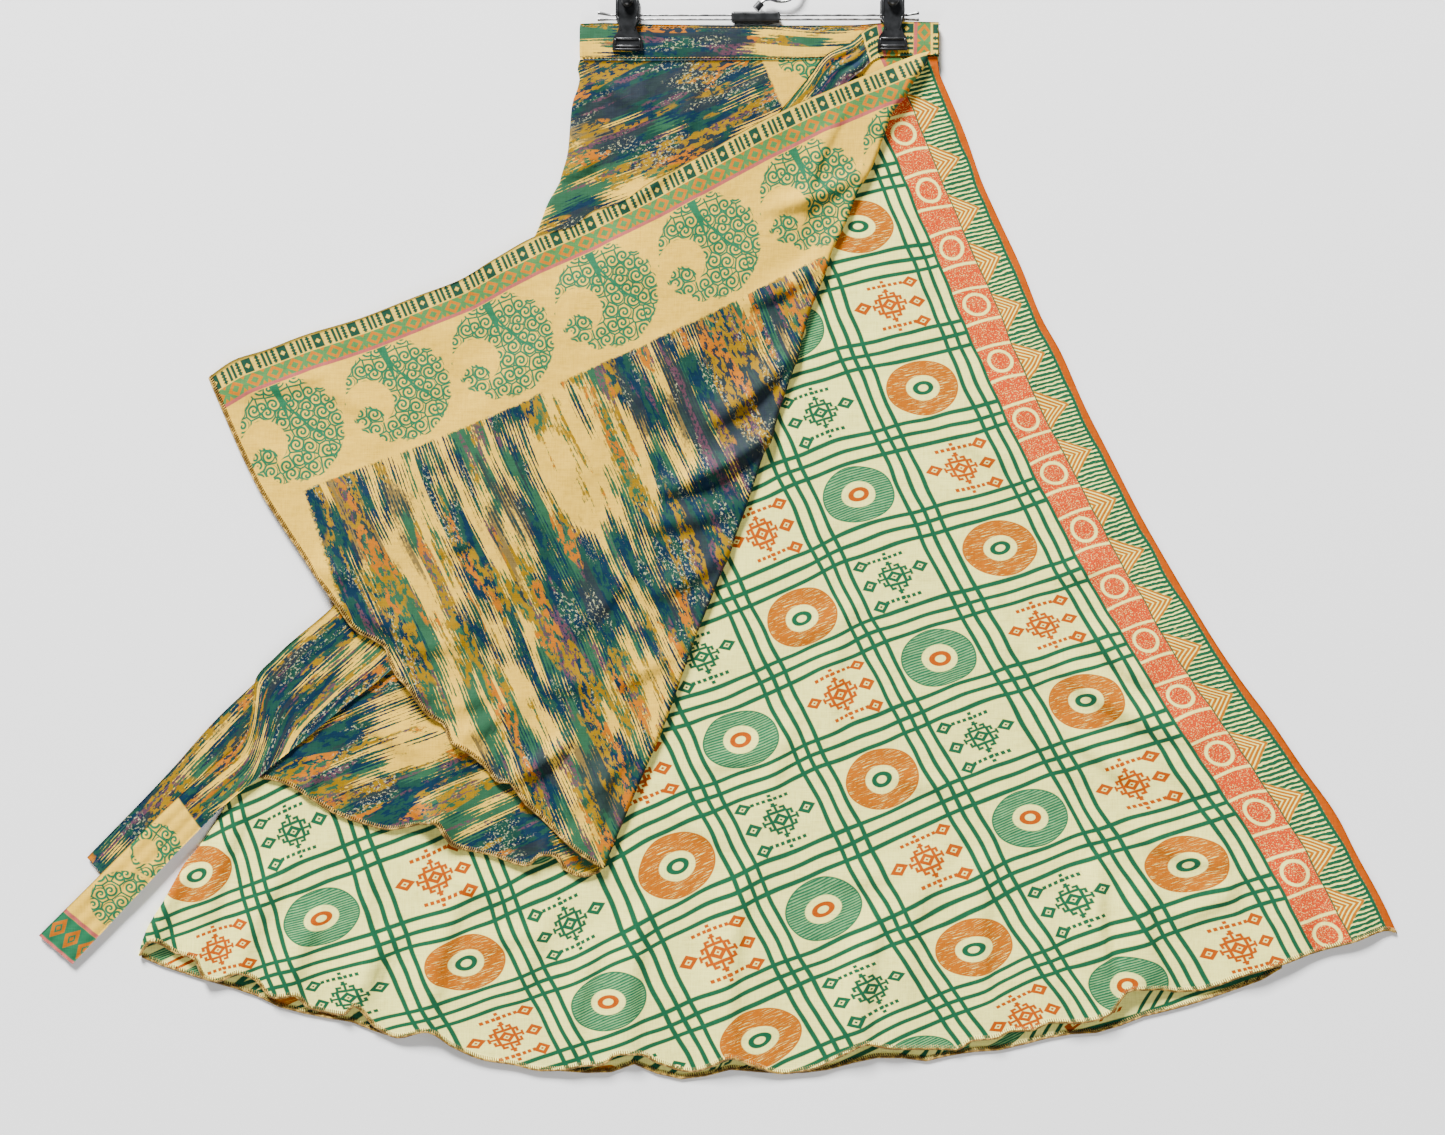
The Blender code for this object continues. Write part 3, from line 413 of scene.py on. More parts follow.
def lay_out_atlas(mesh, rows, columns, side_count, rim_count):
    """The map for baking: both sides of the wall one above the other, the rim in a strip."""
    across = np.tile(np.linspace(*ATLAS_ACROSS, columns), rows)
    down = np.repeat(np.linspace(0.0, 1.0, rows), columns)
    corner = np.concatenate([np.stack([across, start + ATLAS_SIDE_HEIGHT * down], -1)
                             for start in ATLAS_SIDES])
    corners = np.empty(len(mesh.loops), np.int32)
    mesh.loops.foreach_get("vertex_index", corners)
    uv = corner[corners]
    run = np.linspace(*ATLAS_ACROSS, rim_count + 1)
    strip = np.stack([
        np.stack([run[:-1], run[1:], run[1:], run[:-1]], -1),
        np.broadcast_to(np.repeat(ATLAS_RIM, 2), (rim_count, 4)),
    ], -1)
    uv[side_count * 8:] = strip.reshape(-1, 2)
    layer = mesh.uv_layers.new(name="OFBake")
    layer.data.foreach_set("uv", uv.astype(np.float32).ravel())


def patch(top, bottom, left, right):
    """A grid of plan points between four outlines; the sides run from the top to the bottom."""
    down = shares_of(len(left) - 1)[:, None, None]
    across = shares_of(len(top) - 1)[None, :, None]
    ends = [between(left[row], right[row], across) for row in (0, -1)]
    return (between(top[None], bottom[None], down)
            + between(left[:, None], right[:, None], across) - between(*ends, down))


def with_height(plan, height):
    """A grid of plan points with its heights."""
    return np.concatenate([plan, np.broadcast_to(height, plan.shape[:2])[..., None]], -1)


def shifted(line, distance):
    """An outline moved to its left by a distance, seen along its run."""
    step = unit(np.gradient(line, axis=0))
    side = np.stack([-step[:, 1], step[:, 0]], -1)
    return line + side * np.reshape(distance, (-1, 1))


# The waistband's edges in the photograph, and the gap between it and the skirt's cloth
BandPlace = namedtuple("BandPlace", "x top bottom")
BAND = rows_of(BandPlace, [
    (579.5, 25.6, 62.0), (603, 24.8, 62.0), (646, 26.1, 62.3), (711, 27.0, 62.0),
    (782, 27.4, 62.0), (853, 27.0, 60.0), (878, 25.0, 59.5), (905, 23.5, 58.8),
    (938, 24.0, 57.7),
])
SEAM_GAP = 0.0006
# The band's grid, how far it draws in at its left fold, and how much thinner its edges are
BAND_COLUMNS = 170
BAND_ROWS = 14
BAND_INSET = 0.0002
EDGE_THINNING = 0.35


def band_edge(x, edge):
    """The pixel row of the band's top or bottom edge at a pixel column."""
    return curve_through([row.x for row in BAND], [getattr(row, edge) for row in BAND], x)


def waist_line(start, end, count):
    """Plan points just under the band's lower edge, between two pixel columns."""
    x = np.linspace(start, end, count)
    return np.stack(at_pixel(x, band_edge(x, "bottom") + SEAM_GAP / PIXEL), -1)


# From which share of the cloth's length its hem's ruffles grow, and by which power
Ruffled = namedtuple("Ruffled", "start growth")
INNER_RUFFLED = Ruffled(0.86, 1.5)
OUTER_RUFFLED = Ruffled(0.82, 1.8)
# How high the ruffles stand, by the pixel column of their crests and troughs
Ruffle = namedtuple("Ruffle", "x lift")
INNER_RUFFLES = rows_of(Ruffle, [
    (140, 0.000), (156, 0.006), (172, 0.001), (200, 0.005), (222, 0.001), (240, 0.006),
    (262, 0.002), (290, 0.005), (325, 0.000), (356, 0.006), (390, 0.001), (427, 0.005),
    (480, 0.001), (543, 0.000), (575, 0.003), (630, 0.007), (690, 0.001), (732, 0.006),
    (790, 0.000), (825, 0.003), (864, 0.007), (905, 0.005), (950, 0.001), (998, 0.005),
    (1025, 0.002), (1080, 0.004), (1126, 0.008), (1190, 0.001), (1265, 0.005), (1320, 0.002),
    (1360, 0.004), (1396, 0.000),
])
OUTER_RUFFLES = rows_of(Ruffle, [
    (244, 0.0003), (275, 0.0005), (320, 0.001), (360, 0.001), (410, 0.002), (436, 0.008),
    (470, 0.001), (515, 0.002), (543, 0.007), (566, 0.002), (604, 0.001),
])
FLAP_RUFFLES = rows_of(Ruffle, [
    (210, 0.000), (245, 0.002), (300, 0.001), (345, 0.003), (388, 0.001), (405, 0.005),
    (440, 0.002), (458, 0.006), (490, 0.002), (516, 0.008), (545, 0.003), (570, 0.006),
    (604, 0.001),
])


def ruffle_height(x, shares, hem, table):
    """The lift of a hem's ruffles at plan columns, growing towards the hem."""
    column, _ = to_pixel(x, SEAM[1])
    lift = curve_through([row.x for row in table], [row.lift for row in table], column)
    near_hem = np.clip((shares[:, None] - hem.start) / (1.0 - hem.start), 0.0, 1.0)
    return lift * near_hem ** hem.growth


# The creases of the inner skirt, the outer skirt's front and its flap
INNER_CREASES = rows_of(Crease, [
    (905, 180, 935, 300, 0.010, 0.0024), (940, 120, 965, 190, 0.006, 0.0018),
    (1020, 330, 1050, 400, 0.007, 0.0022), (1095, 470, 1130, 545, 0.007, 0.0024),
    (1180, 610, 1225, 700, 0.008, 0.0028), (985, 560, 1040, 690, 0.012, 0.0036),
    (1040, 650, 1205, 748, 0.012, 0.0056), (1085, 625, 1150, 690, 0.007, 0.0050),
    (1060, 720, 1150, 790, 0.010, 0.0044), (1132, 703, 1200, 800, 0.012, 0.0034),
    (1098, 850, 1112, 1000, 0.013, 0.0090), (1140, 880, 1162, 985, 0.012, 0.0070),
    (885, 900, 862, 1060, 0.014, 0.0080), (940, 840, 905, 1010, 0.016, 0.0048),
    (752, 860, 733, 1070, 0.014, 0.0070), (800, 700, 770, 850, 0.012, 0.0034),
    (850, 600, 838, 760, 0.011, 0.0030), (1000, 671, 1082, 785, 0.010, 0.0034),
    (985, 850, 998, 1040, 0.013, 0.0064), (1040, 900, 1080, 1030, 0.012, 0.0050),
    (1210, 800, 1262, 975, 0.013, 0.0058), (1290, 840, 1320, 950, 0.011, 0.0044),
    (1330, 800, 1372, 935, 0.010, 0.0030), (650, 900, 632, 1060, 0.014, 0.0076),
    (600, 930, 575, 1070, 0.012, 0.0046), (560, 900, 520, 1010, 0.012, 0.0030),
    (470, 880, 430, 1035, 0.013, 0.0062), (373, 843, 383, 977, 0.009, 0.0038),
    (400, 930, 358, 1010, 0.011, 0.0058), (330, 900, 290, 1000, 0.011, 0.0046),
    (300, 850, 243, 975, 0.011, 0.0048), (251, 802, 213, 925, 0.008, 0.0056),
    (200, 860, 157, 945, 0.008, 0.0042), (545, 930, 470, 960, 0.010, 0.0024),
    (880, 770, 960, 790, 0.010, 0.0022), (1130, 830, 1230, 866, 0.009, 0.0036),
    (690, 770, 790, 735, 0.010, 0.0024), (1168, 925, 1250, 866, 0.011, 0.0034),
    (780, 640, 870, 600, 0.010, 0.0024), (660, 800, 740, 850, 0.010, 0.0022),
    (940, 420, 1010, 470, 0.010, 0.0020), (830, 880, 900, 870, 0.010, 0.0022),
    (1050, 580, 1110, 560, 0.009, 0.0022), (430, 860, 500, 900, 0.010, 0.0024),
])
OUTER_CREASES = rows_of(Crease, [
    (590, 75, 640, 110, 0.009, 0.0031), (575, 125, 600, 170, 0.008, 0.0034),
    (560, 180, 600, 160, 0.007, 0.0031), (640, 70, 660, 140, 0.010, 0.0024),
    (700, 75, 690, 140, 0.010, 0.0020), (610, 215, 680, 160, 0.009, 0.0027),
    (760, 75, 750, 120, 0.009, 0.0020), (317, 770, 312, 800, 0.005, 0.0051),
    (410, 797, 452, 840, 0.006, 0.0065), (350, 700, 430, 760, 0.010, 0.0034),
    (440, 720, 500, 790, 0.010, 0.0037), (500, 780, 540, 850, 0.009, 0.0048),
    (380, 690, 470, 690, 0.009, 0.0027), (290, 740, 350, 790, 0.008, 0.0031),
    (560, 830, 590, 865, 0.008, 0.0044),
])
FLAP_CREASES = rows_of(Crease, [
    (654, 497, 790, 418, 0.0080, 0.0100), (629, 526, 745, 505, 0.009, 0.0055),
    (700, 430, 800, 345, 0.010, 0.0085), (735, 310, 828, 262, 0.008, 0.0051),
    (760, 215, 868, 172, 0.007, 0.0048), (845, 110, 800, 235, 0.008, 0.0041),
    (640, 600, 735, 545, 0.010, 0.0060), (560, 640, 640, 560, 0.010, 0.0031),
    (600, 690, 690, 640, 0.009, 0.0037), (511, 780, 578, 733, 0.006, 0.0085),
    (560, 815, 640, 740, 0.009, 0.0044), (533, 690, 605, 678, 0.008, 0.0024),
    (433, 556, 478, 538, 0.007, 0.0024), (312, 563, 350, 583, 0.007, 0.0031),
    (345, 600, 430, 640, 0.008, 0.0034), (392, 650, 470, 640, 0.008, 0.0037),
    (430, 712, 500, 690, 0.008, 0.0034), (455, 742, 520, 700, 0.007, 0.0041),
    (250, 440, 300, 470, 0.008, 0.0024), (225, 395, 330, 372, 0.008, 0.0024),
    (300, 360, 380, 420, 0.010, 0.0024), (420, 310, 470, 380, 0.010, 0.0020),
    (540, 245, 560, 330, 0.010, 0.0027), (600, 225, 650, 300, 0.010, 0.0024),
    (690, 180, 720, 250, 0.009, 0.0027), (480, 450, 520, 560, 0.012, 0.0020),
    (380, 480, 410, 590, 0.012, 0.0020), (660, 330, 700, 420, 0.011, 0.0024),
    (585, 850, 610, 760, 0.008, 0.0044),
])


# Soft swells all over the cloth: their height and size in metres, and their draw
Swell = namedtuple("Swell", "height size seed")
INNER_SWELLS = rows_of(Swell, [(0.0007, 0.085, 3), (0.0003, 0.034, 8)])
OUTER_SWELLS = rows_of(Swell, [(0.0005, 0.040, 5)])
FLAP_SWELLS = rows_of(Swell, [(0.0006, 0.055, 7), (0.0003, 0.024, 9)])


def past_clip(x, y):
    """None under the right clip, whose jaws press the layers flat, and one well away from it."""
    apart = np.hypot(x - CLIP_PRESS[0], y - CLIP_PRESS[1])
    return smooth_step(apart, PRESSED_UNTIL, FREE_FROM)


def swells(x, y, table):
    """Soft rises all over a cloth, none of them below it."""
    return sum(row.height * (1 + value_noise(x, y, row.size, row.seed)) for row in table)


def inner_rise(x, y):
    """How far the inner skirt's creases raise its front and all that lies on it."""
    return (crease_height(x, y, INNER_CREASES) + swells(x, y, INNER_SWELLS)) * past_clip(x, y)


def outer_rise(x, y):
    """How far the outer skirt's creases raise its front and all that lies on it."""
    return (crease_height(x, y, OUTER_CREASES) + swells(x, y, OUTER_SWELLS)) * past_clip(x, y)


# The printed colours in linear values; the slate is partly painted shade
CREAM = (0.94, 0.89, 0.25)
WARM_BEIGE = (0.76, 0.465, 0.040)
GREEN = (0.010, 0.086, 0.038)
LEAF_GREEN = (0.016, 0.125, 0.055)
DISC_GREEN = (0.21, 0.41, 0.15)
BAND_GREEN = (0.062, 0.185, 0.050)
ORANGE = (0.43, 0.112, 0.0)
DEEP_ORANGE = (0.40, 0.070, 0.0)
GOLD_ORANGE = (0.46, 0.140, 0.0)
CORAL = (0.58, 0.048, 0.006)
BLUE = (0.003, 0.019, 0.042)
SLATE_AND_SHADE = (0.018, 0.024, 0.030)
DARK_GREEN = (0.008, 0.050, 0.032)
MOSS = (0.022, 0.088, 0.042)
OLIVE = (0.255, 0.140, 0.0)
STROKE_ORANGE = (0.41, 0.118, 0.0)
MAUVE = (0.105, 0.038, 0.060)
PALE = (0.52, 0.51, 0.28)
PINK = (0.38, 0.085, 0.070)
FILM_GROUND = (0.72, 0.49, 0.060)
FILM_MARK = (0.010, 0.050, 0.028)
SHADE = (0.62, 0.58, 0.50)
THREAD = (0.15, 0.080, 0.010)
THREAD_LIGHT = (0.55, 0.34, 0.060)


class Field:
    """A value in a material's nodes that can be added, multiplied and compared."""

    def __init__(self, tree, socket):
        self.tree = tree
        self.socket = socket

    def math(self, operation, *others, clamp=False):
        node = self.tree.nodes.new("ShaderNodeMath")
        node.operation = operation
        node.use_clamp = clamp
        for slot, value in zip(node.inputs, (self, *others)):
            connect(self.tree, value, slot)
        return Field(self.tree, node.outputs[0])

    def __add__(self, other):
        return self.math("ADD", other)

    def __sub__(self, other):
        return self.math("SUBTRACT", other)

    def __mul__(self, other):
        return self.math("MULTIPLY", other)

    def __truediv__(self, other):
        return self.math("DIVIDE", other)

    def size(self):
        return self.math("ABSOLUTE")

    def part(self):
        """What is left over after the last whole number."""
        return self.math("FRACT")

    def whole(self):
        return self.math("FLOOR")

    def larger(self, *others):
        field = self
        for other in others:
            field = field.math("MAXIMUM", other)
        return field

    def smaller(self, other):
        return self.math("MINIMUM", other)

    def inverse(self):
        return self.math("MULTIPLY_ADD", -1.0, 1.0)

    def over(self, edge, blur):
        """One above the edge and zero below it, with a soft change between."""
        return (self - edge).math("MULTIPLY_ADD", 1.0 / blur, 0.5, clamp=True)

    def under(self, edge, blur):
        return (self - edge).math("MULTIPLY_ADD", -1.0 / blur, 0.5, clamp=True)

    def within(self, low, high, blur):
        return self.over(low, blur) * self.under(high, blur)


def connect(tree, value, slot):
    """Links a field to a node's slot, or sets a plain value there."""
    if isinstance(value, Field):
        tree.links.new(value.socket, slot)
    else:
        slot.default_value = value


def vector_of(x, y, z=0.0):
    """Three values as one vector."""
    tree = x.tree
    node = tree.nodes.new("ShaderNodeCombineXYZ")
    for slot, value in zip(node.inputs, (x, y, z)):
        connect(tree, value, slot)
    return Field(tree, node.outputs[0])


def noise(x, y, scale, detail=2.0, rough=0.5, shift=0.0):
    """Soft random values around one half over two coordinates."""
    tree = x.tree
    node = tree.nodes.new("ShaderNodeTexNoise")
    node.noise_dimensions = "3D"
    connect(tree, vector_of(x, y, shift), node.inputs["Vector"])
    node.inputs["Scale"].default_value = scale
    node.inputs["Detail"].default_value = detail
    node.inputs["Roughness"].default_value = rough
    return Field(tree, node.outputs["Fac"])


def blend(under, over, share, way="MIX"):
    """A colour laid over another by a share."""
    node = share.tree.nodes.new("ShaderNodeMix")
    node.data_type = "RGBA"
    node.blend_type = way
    connect(share.tree, share, node.inputs[0])
    for slot, value in ((node.inputs[6], under), (node.inputs[7], over)):
        connect(share.tree, value if isinstance(value, Field) else (*value, 1.0), slot)
    return Field(share.tree, node.outputs[2])


def parts_of(tree, vector):
    """The three parts of a vector."""
    split = tree.nodes.new("ShaderNodeSeparateXYZ")
    tree.links.new(vector, split.inputs[0])
    return [Field(tree, output) for output in split.outputs]


def cloth_fields(tree):
    """The three parts of a point's own place on its cloth."""
    read = tree.nodes.new("ShaderNodeAttribute")
    read.attribute_name = "cloth"
    return parts_of(tree, read.outputs["Vector"])


def distance(side, rise):
    """How far a place lies from a middle, by its distances to the side and up."""
    return (side * side + rise * rise).math("SQRT")


def bars(value, places, half, blur):
    """Lines of one half width at places along a value."""
    first, *others = [(value - place).size().under(half, blur) for place in places]
    return first.larger(*others)


def start_material(name, roughness):
    """A new material with its nodes and its shader."""
    material = bpy.data.materials.new(name)
    material.use_nodes = True
    tree = material.node_tree
    shader = tree.nodes["Principled BSDF"]
    shader.inputs["Roughness"].default_value = roughness
    return material, tree, shader


def start_cloth(name, roughness, gloss, sheen):
    """A cloth's material, with the same faint gloss and sheen all over."""
    material, tree, shader = start_material(name, roughness)
    shader.inputs["Specular IOR Level"].default_value = gloss
    shader.inputs["Sheen Weight"].default_value = sheen
    return material, tree, shader


def add_bump(tree, shader, height, strength, depth):
    """Makes a surface look uneven by a height."""
    bump = tree.nodes.new("ShaderNodeBump")
    bump.inputs["Strength"].default_value = strength
    bump.inputs["Distance"].default_value = depth
    connect(tree, height, bump.inputs["Height"])
    tree.links.new(bump.outputs["Normal"], shader.inputs["Normal"])


def object_fields(tree):
    """The place in metres in the object's own space, for weave and small wrinkles."""
    node = tree.nodes.new("ShaderNodeTexCoord")
    return parts_of(tree, node.outputs["Object"])


# How often the slubs change in a metre, along them and across them
SLUB_LONG = 60.0
SLUB_THIN = 900.0


def weave(tree, shader, colour, strength):
    """Lays the cloth's slubs over a colour and gives it a fine uneven surface."""
    x, y, _ = object_fields(tree)
    slubs = (noise(x * SLUB_LONG, y * SLUB_THIN, 1.0, 2.0, 0.6)
             + noise(x * SLUB_THIN, y * SLUB_LONG, 1.0, 2.0, 0.6, 4.0))
    shade = slubs.within(0.70, 1.9, 0.9).inverse()
    connect(tree, blend(colour, SHADE, shade, "MULTIPLY"), shader.inputs["Base Color"])
    wrinkles = noise(x, y, 28.0, 3.0, 0.55, 2.0)
    add_bump(tree, shader, wrinkles * 3.0 + slubs * 0.10, strength, 0.0020)


def make_cloth(name, print_of, roughness, gloss, sheen, relief):
    """A printed cloth's material, with slubs and small wrinkles."""
    material, tree, shader = start_cloth(name, roughness, gloss, sheen)
    weave(tree, shader, print_of(tree), relief)
    return material


# The plaid's small motif, in cells from its middle: its diamonds, and the hooks round the first
Nest = namedtuple("Nest", "across down")
NESTS = rows_of(Nest, [
    (0.0, 0.0), (0.260, 0.015), (0.267, -0.235), (0.250, 0.260), (-0.253, -0.030),
])
NEST_HALF_ACROSS = 0.078
NEST_HALF_DOWN = 0.070
Hook = namedtuple("Hook", "out_from out_to side_from side_to")
HOOKS = rows_of(Hook, [
    (0.74, 1.08, -1.0, 0.96), (0.78, 1.48, 0.66, 0.94), (1.18, 1.48, 0.34, 0.94),
    (0.90, 1.80, -1.0, 0.14), (1.56, 1.82, -1.0, 0.34),
])
HOOK_BLUR = 0.08


def motif(across, down):
    """A small motif: nested diamonds with hooks and two lines of dashes."""
    drawn = []
    for nest in NESTS:
        out = ((across - nest.across).size() / NEST_HALF_ACROSS
               + (down - nest.down).size() / NEST_HALF_DOWN)
        drawn += [out.within(0.42, 1.10, 0.12), out.under(0.22, 0.12)]
    wide = across.size() * 10.9
    high = down.size() * 10.2
    out = wide.larger(high)
    side = wide.smaller(high)
    drawn += [out.within(hook.out_from, hook.out_to, HOOK_BLUR)
              * side.within(hook.side_from, hook.side_to, HOOK_BLUR) for hook in HOOKS]
    flat_dashes = ((down.size() - 0.245).size().under(0.020, 0.008)
                   * across.within(-0.175, 0.20, 0.01)
                   * (across * 19.0).part().under(0.66, 0.1))
    tall_dashes = ((across - 0.006).size().under(0.018, 0.007)
                   * down.size().within(0.170, 0.330, 0.01)
                   * (down.size() * 18.0).part().under(0.62, 0.1))
    return flat_dashes.larger(tall_dashes, *drawn)


# The plaid in cells: its double lines, its discs, and its border's rings and chevrons
LINES_ACROSS = (0.0, 0.119)
LINES_DOWN = (0.0, 0.144)
LINE_HALF_ACROSS = 0.0220
LINE_HALF_DOWN = 0.0250
DISC_HALF_ACROSS = 0.343
DISC_HALF_DOWN = 0.3225
BORDER_FROM = 0.619
CORAL_FROM = 0.636
CORAL_WIDTH = 0.344
FIRST_RING = -0.953
RING_PITCH = 0.721
FIRST_SQUARE = FIRST_RING - 0.1803
CHEVRONS_FROM = 0.992
CHEVRONS_WIDTH = 0.320
CHEVRON_PITCH = 0.6285


def plaid_colour(tree):
    """The inner layer's print: a plaid with discs and motifs, and a border at the free edge."""
    across, down, _ = cloth_fields(tree)
    wobble_across = (noise(across, down, 2.6, 0.0, 0.5) - 0.5) * 0.040
    wobble_down = (noise(across, down, 2.6, 0.0, 0.5, 5.0) - 0.5) * 0.055
    across = across + wobble_across
    down = down + wobble_down
    column = (across + 0.5).whole()
    row = (down + 0.5).whole()
    in_across = across - column
    in_down = down - row
    odd_column = (column * 0.5).part() * 2.0
    checker = ((column + row) * 0.5).part() * 2.0

    upright = bars(in_across.size().inverse() - 0.5, LINES_ACROSS, LINE_HALF_ACROSS, 0.008)
    level = bars(in_down.size().inverse() - 0.5, LINES_DOWN, LINE_HALF_DOWN, 0.010)
    colour = blend(CREAM, GREEN, upright.larger(level))

    round_out = distance(in_across / DISC_HALF_ACROSS, in_down / DISC_HALF_DOWN)
    hatch = noise(in_across * 0.8, in_down * 14.0, 9.0, 2.0, 0.6, 7.0)
    fine = ((in_down + (hatch - 0.5) * 0.015) * 36.0).part()
    rim = round_out.over(0.955, 0.03)
    orange = hatch.under(0.61, 0.06).larger(rim, fine.over(0.5, 0.3) * 0.7)
    orange_disc = blend(CREAM, ORANGE, orange)
    green_disc = blend(DISC_GREEN, LEAF_GREEN, fine.under(0.66, 0.3).larger(rim))
    disc = blend(orange_disc, green_disc, odd_column)
    disc = blend(disc, CREAM, round_out.under(0.46, 0.03))
    ring = distance(in_across * 10.0, in_down * 12.4).within(0.48, 1.0, 0.08)
    disc = blend(disc, blend(GREEN, DEEP_ORANGE, odd_column), ring)
    colour = blend(colour, disc, round_out.under(1.0, 0.02) * checker.inverse())

    mirror = odd_column.math("MULTIPLY_ADD", -2.0, 1.0)
    drawn = motif(in_across * mirror, in_down) * checker
    colour = blend(colour, blend(DEEP_ORANGE, GREEN, odd_column), drawn)
    return blend(colour, border_colour(across, down), across.over(BORDER_FROM, 0.004))


def border_colour(across, down):
    """The free edge's border: rings on coral squares, then nested chevrons on green stripes."""
    place = (across - CORAL_FROM) / CORAL_WIDTH
    squares = (down - FIRST_SQUARE) / RING_PITCH
    in_square = squares.part()
    middle = place - 0.5
    divider = bars(in_square - middle * middle * 0.08, (0.955, 0.545), 0.022, 0.015)
    scribble = noise(place * 5.0 + squares * 4.0, squares * 13.0, 4.6, 2.0, 0.60, 3.0)
    coral = blend(CORAL, CREAM, scribble.over(0.595, 0.08) * 0.65)
    ring = distance(middle * 2.62, (in_square - 0.25) * 4.7).within(0.74, 0.98, 0.06)
    coral = blend(coral, CREAM, ring.larger(divider))

    side = (across - CHEVRONS_FROM) / CHEVRONS_WIDTH
    from_tip = (((down + 1.15) / CHEVRON_PITCH + 0.5).part() - 0.5).size()
    chevron = side / 0.80 + from_tip / 0.40
    nested = (chevron * 5.0).part().over(0.34, 0.15)
    wave = (noise(across, down, 14.0, 2.0, 0.5, 9.0) - 0.5) * 0.035
    stripes = ((down + wave) * 19.5).part().under(0.66, 0.15)
    stripes = stripes * noise(across * 3.0, down * 20.0, 5.0, 1.0, 0.5).under(0.76, 0.05)
    striped = blend(CREAM, GREEN, stripes)
    outer = blend(striped, blend(CREAM, GOLD_ORANGE, nested), chevron.under(1.0, 0.04))

    colour = blend(coral, outer, across.over(0.985, 0.006))
    thin_lines = across.within(0.612, 0.632, 0.006).larger(
        across.within(0.980, 0.992, 0.005), across.within(1.290, 1.320, 0.005))
    colour = blend(colour, GREEN, thin_lines)
    return blend(colour, DEEP_ORANGE, across.over(1.320, 0.006))


def scrolls(along, out):
    """Small curls packed side by side, with fine stems between them; sizes in 100 pixels."""
    tree = along.tree
    cells = tree.nodes.new("ShaderNodeTexVoronoi")
    edges = tree.nodes.new("ShaderNodeTexVoronoi")
    edges.feature = "DISTANCE_TO_EDGE"
    for node in (cells, edges):
        node.voronoi_dimensions = "2D"
        node.inputs["Scale"].default_value = 7.7
        node.inputs["Randomness"].default_value = 0.75
        connect(tree, vector_of(along, out), node.inputs["Vector"])
    middle_along, middle_out, _ = parts_of(tree, cells.outputs["Position"])
    side = along - middle_along
    rise = out - middle_out
    radius = distance(side, rise)
    swing = rise.math("ARCTAN2", side) * (1 / (2 * math.pi))
    spiral = (radius * 23.0 - swing).part().under(0.56, 0.2) * radius.under(0.074, 0.008)
    veins = Field(tree, edges.outputs["Distance"]).under(0.070, 0.04)
    return spiral.larger(veins)


def round_patch(along, out, at_along, at_out, radius):
    """A round area about a middle."""
    return distance(along - at_along, out - at_out).under(radius, 0.012)


def scroll_tree(along, out):
    """A round crown full of curls on a short trunk, with a bay and a curled end in it."""
    ripple = (noise(along, out, 9.0, 1.0, 0.5) - 0.5) * 0.16
    crown = round_patch(along + ripple, out + ripple, 0.0, 0.0, 0.515)
    bay = round_patch(along, out, 0.31, 0.02, 0.235)
    curled = round_patch(along + ripple * 0.5, out, 0.37, 0.17, 0.130)
    crown = crown * (bay * curled.inverse()).inverse()
    trunk_width = (out + 0.56).size() * -0.105 + 0.055
    sway = along + 0.02 - (out + 0.3) * (out + 0.3) * 0.22
    trunk = (trunk_width - sway.size()).over(0.0, 0.008) * out.within(-0.58, 0.06, 0.01)
    bough = (along + out * 0.55 + out * out * 0.5 + 0.17).size().under(0.013, 0.008)
    bough = bough * out.within(-0.34, 0.34, 0.02)
    twig = (along - out * 0.75 - 0.21).size().under(0.012, 0.008)
    twig = twig * out.within(-0.30, -0.05, 0.02)
    return (scrolls(along, out).larger(bough, twig) * crown).larger(trunk)


def combed(value, tooth, edge, reach):
    """A patch that is full over one value and thins out into pointed lines under it."""
    return ((value - (edge - reach)) * (1.0 / reach) - tooth).over(0.08, 0.18)


# How many strokes lie side by side in a unit
STROKE_LINES = 31.0


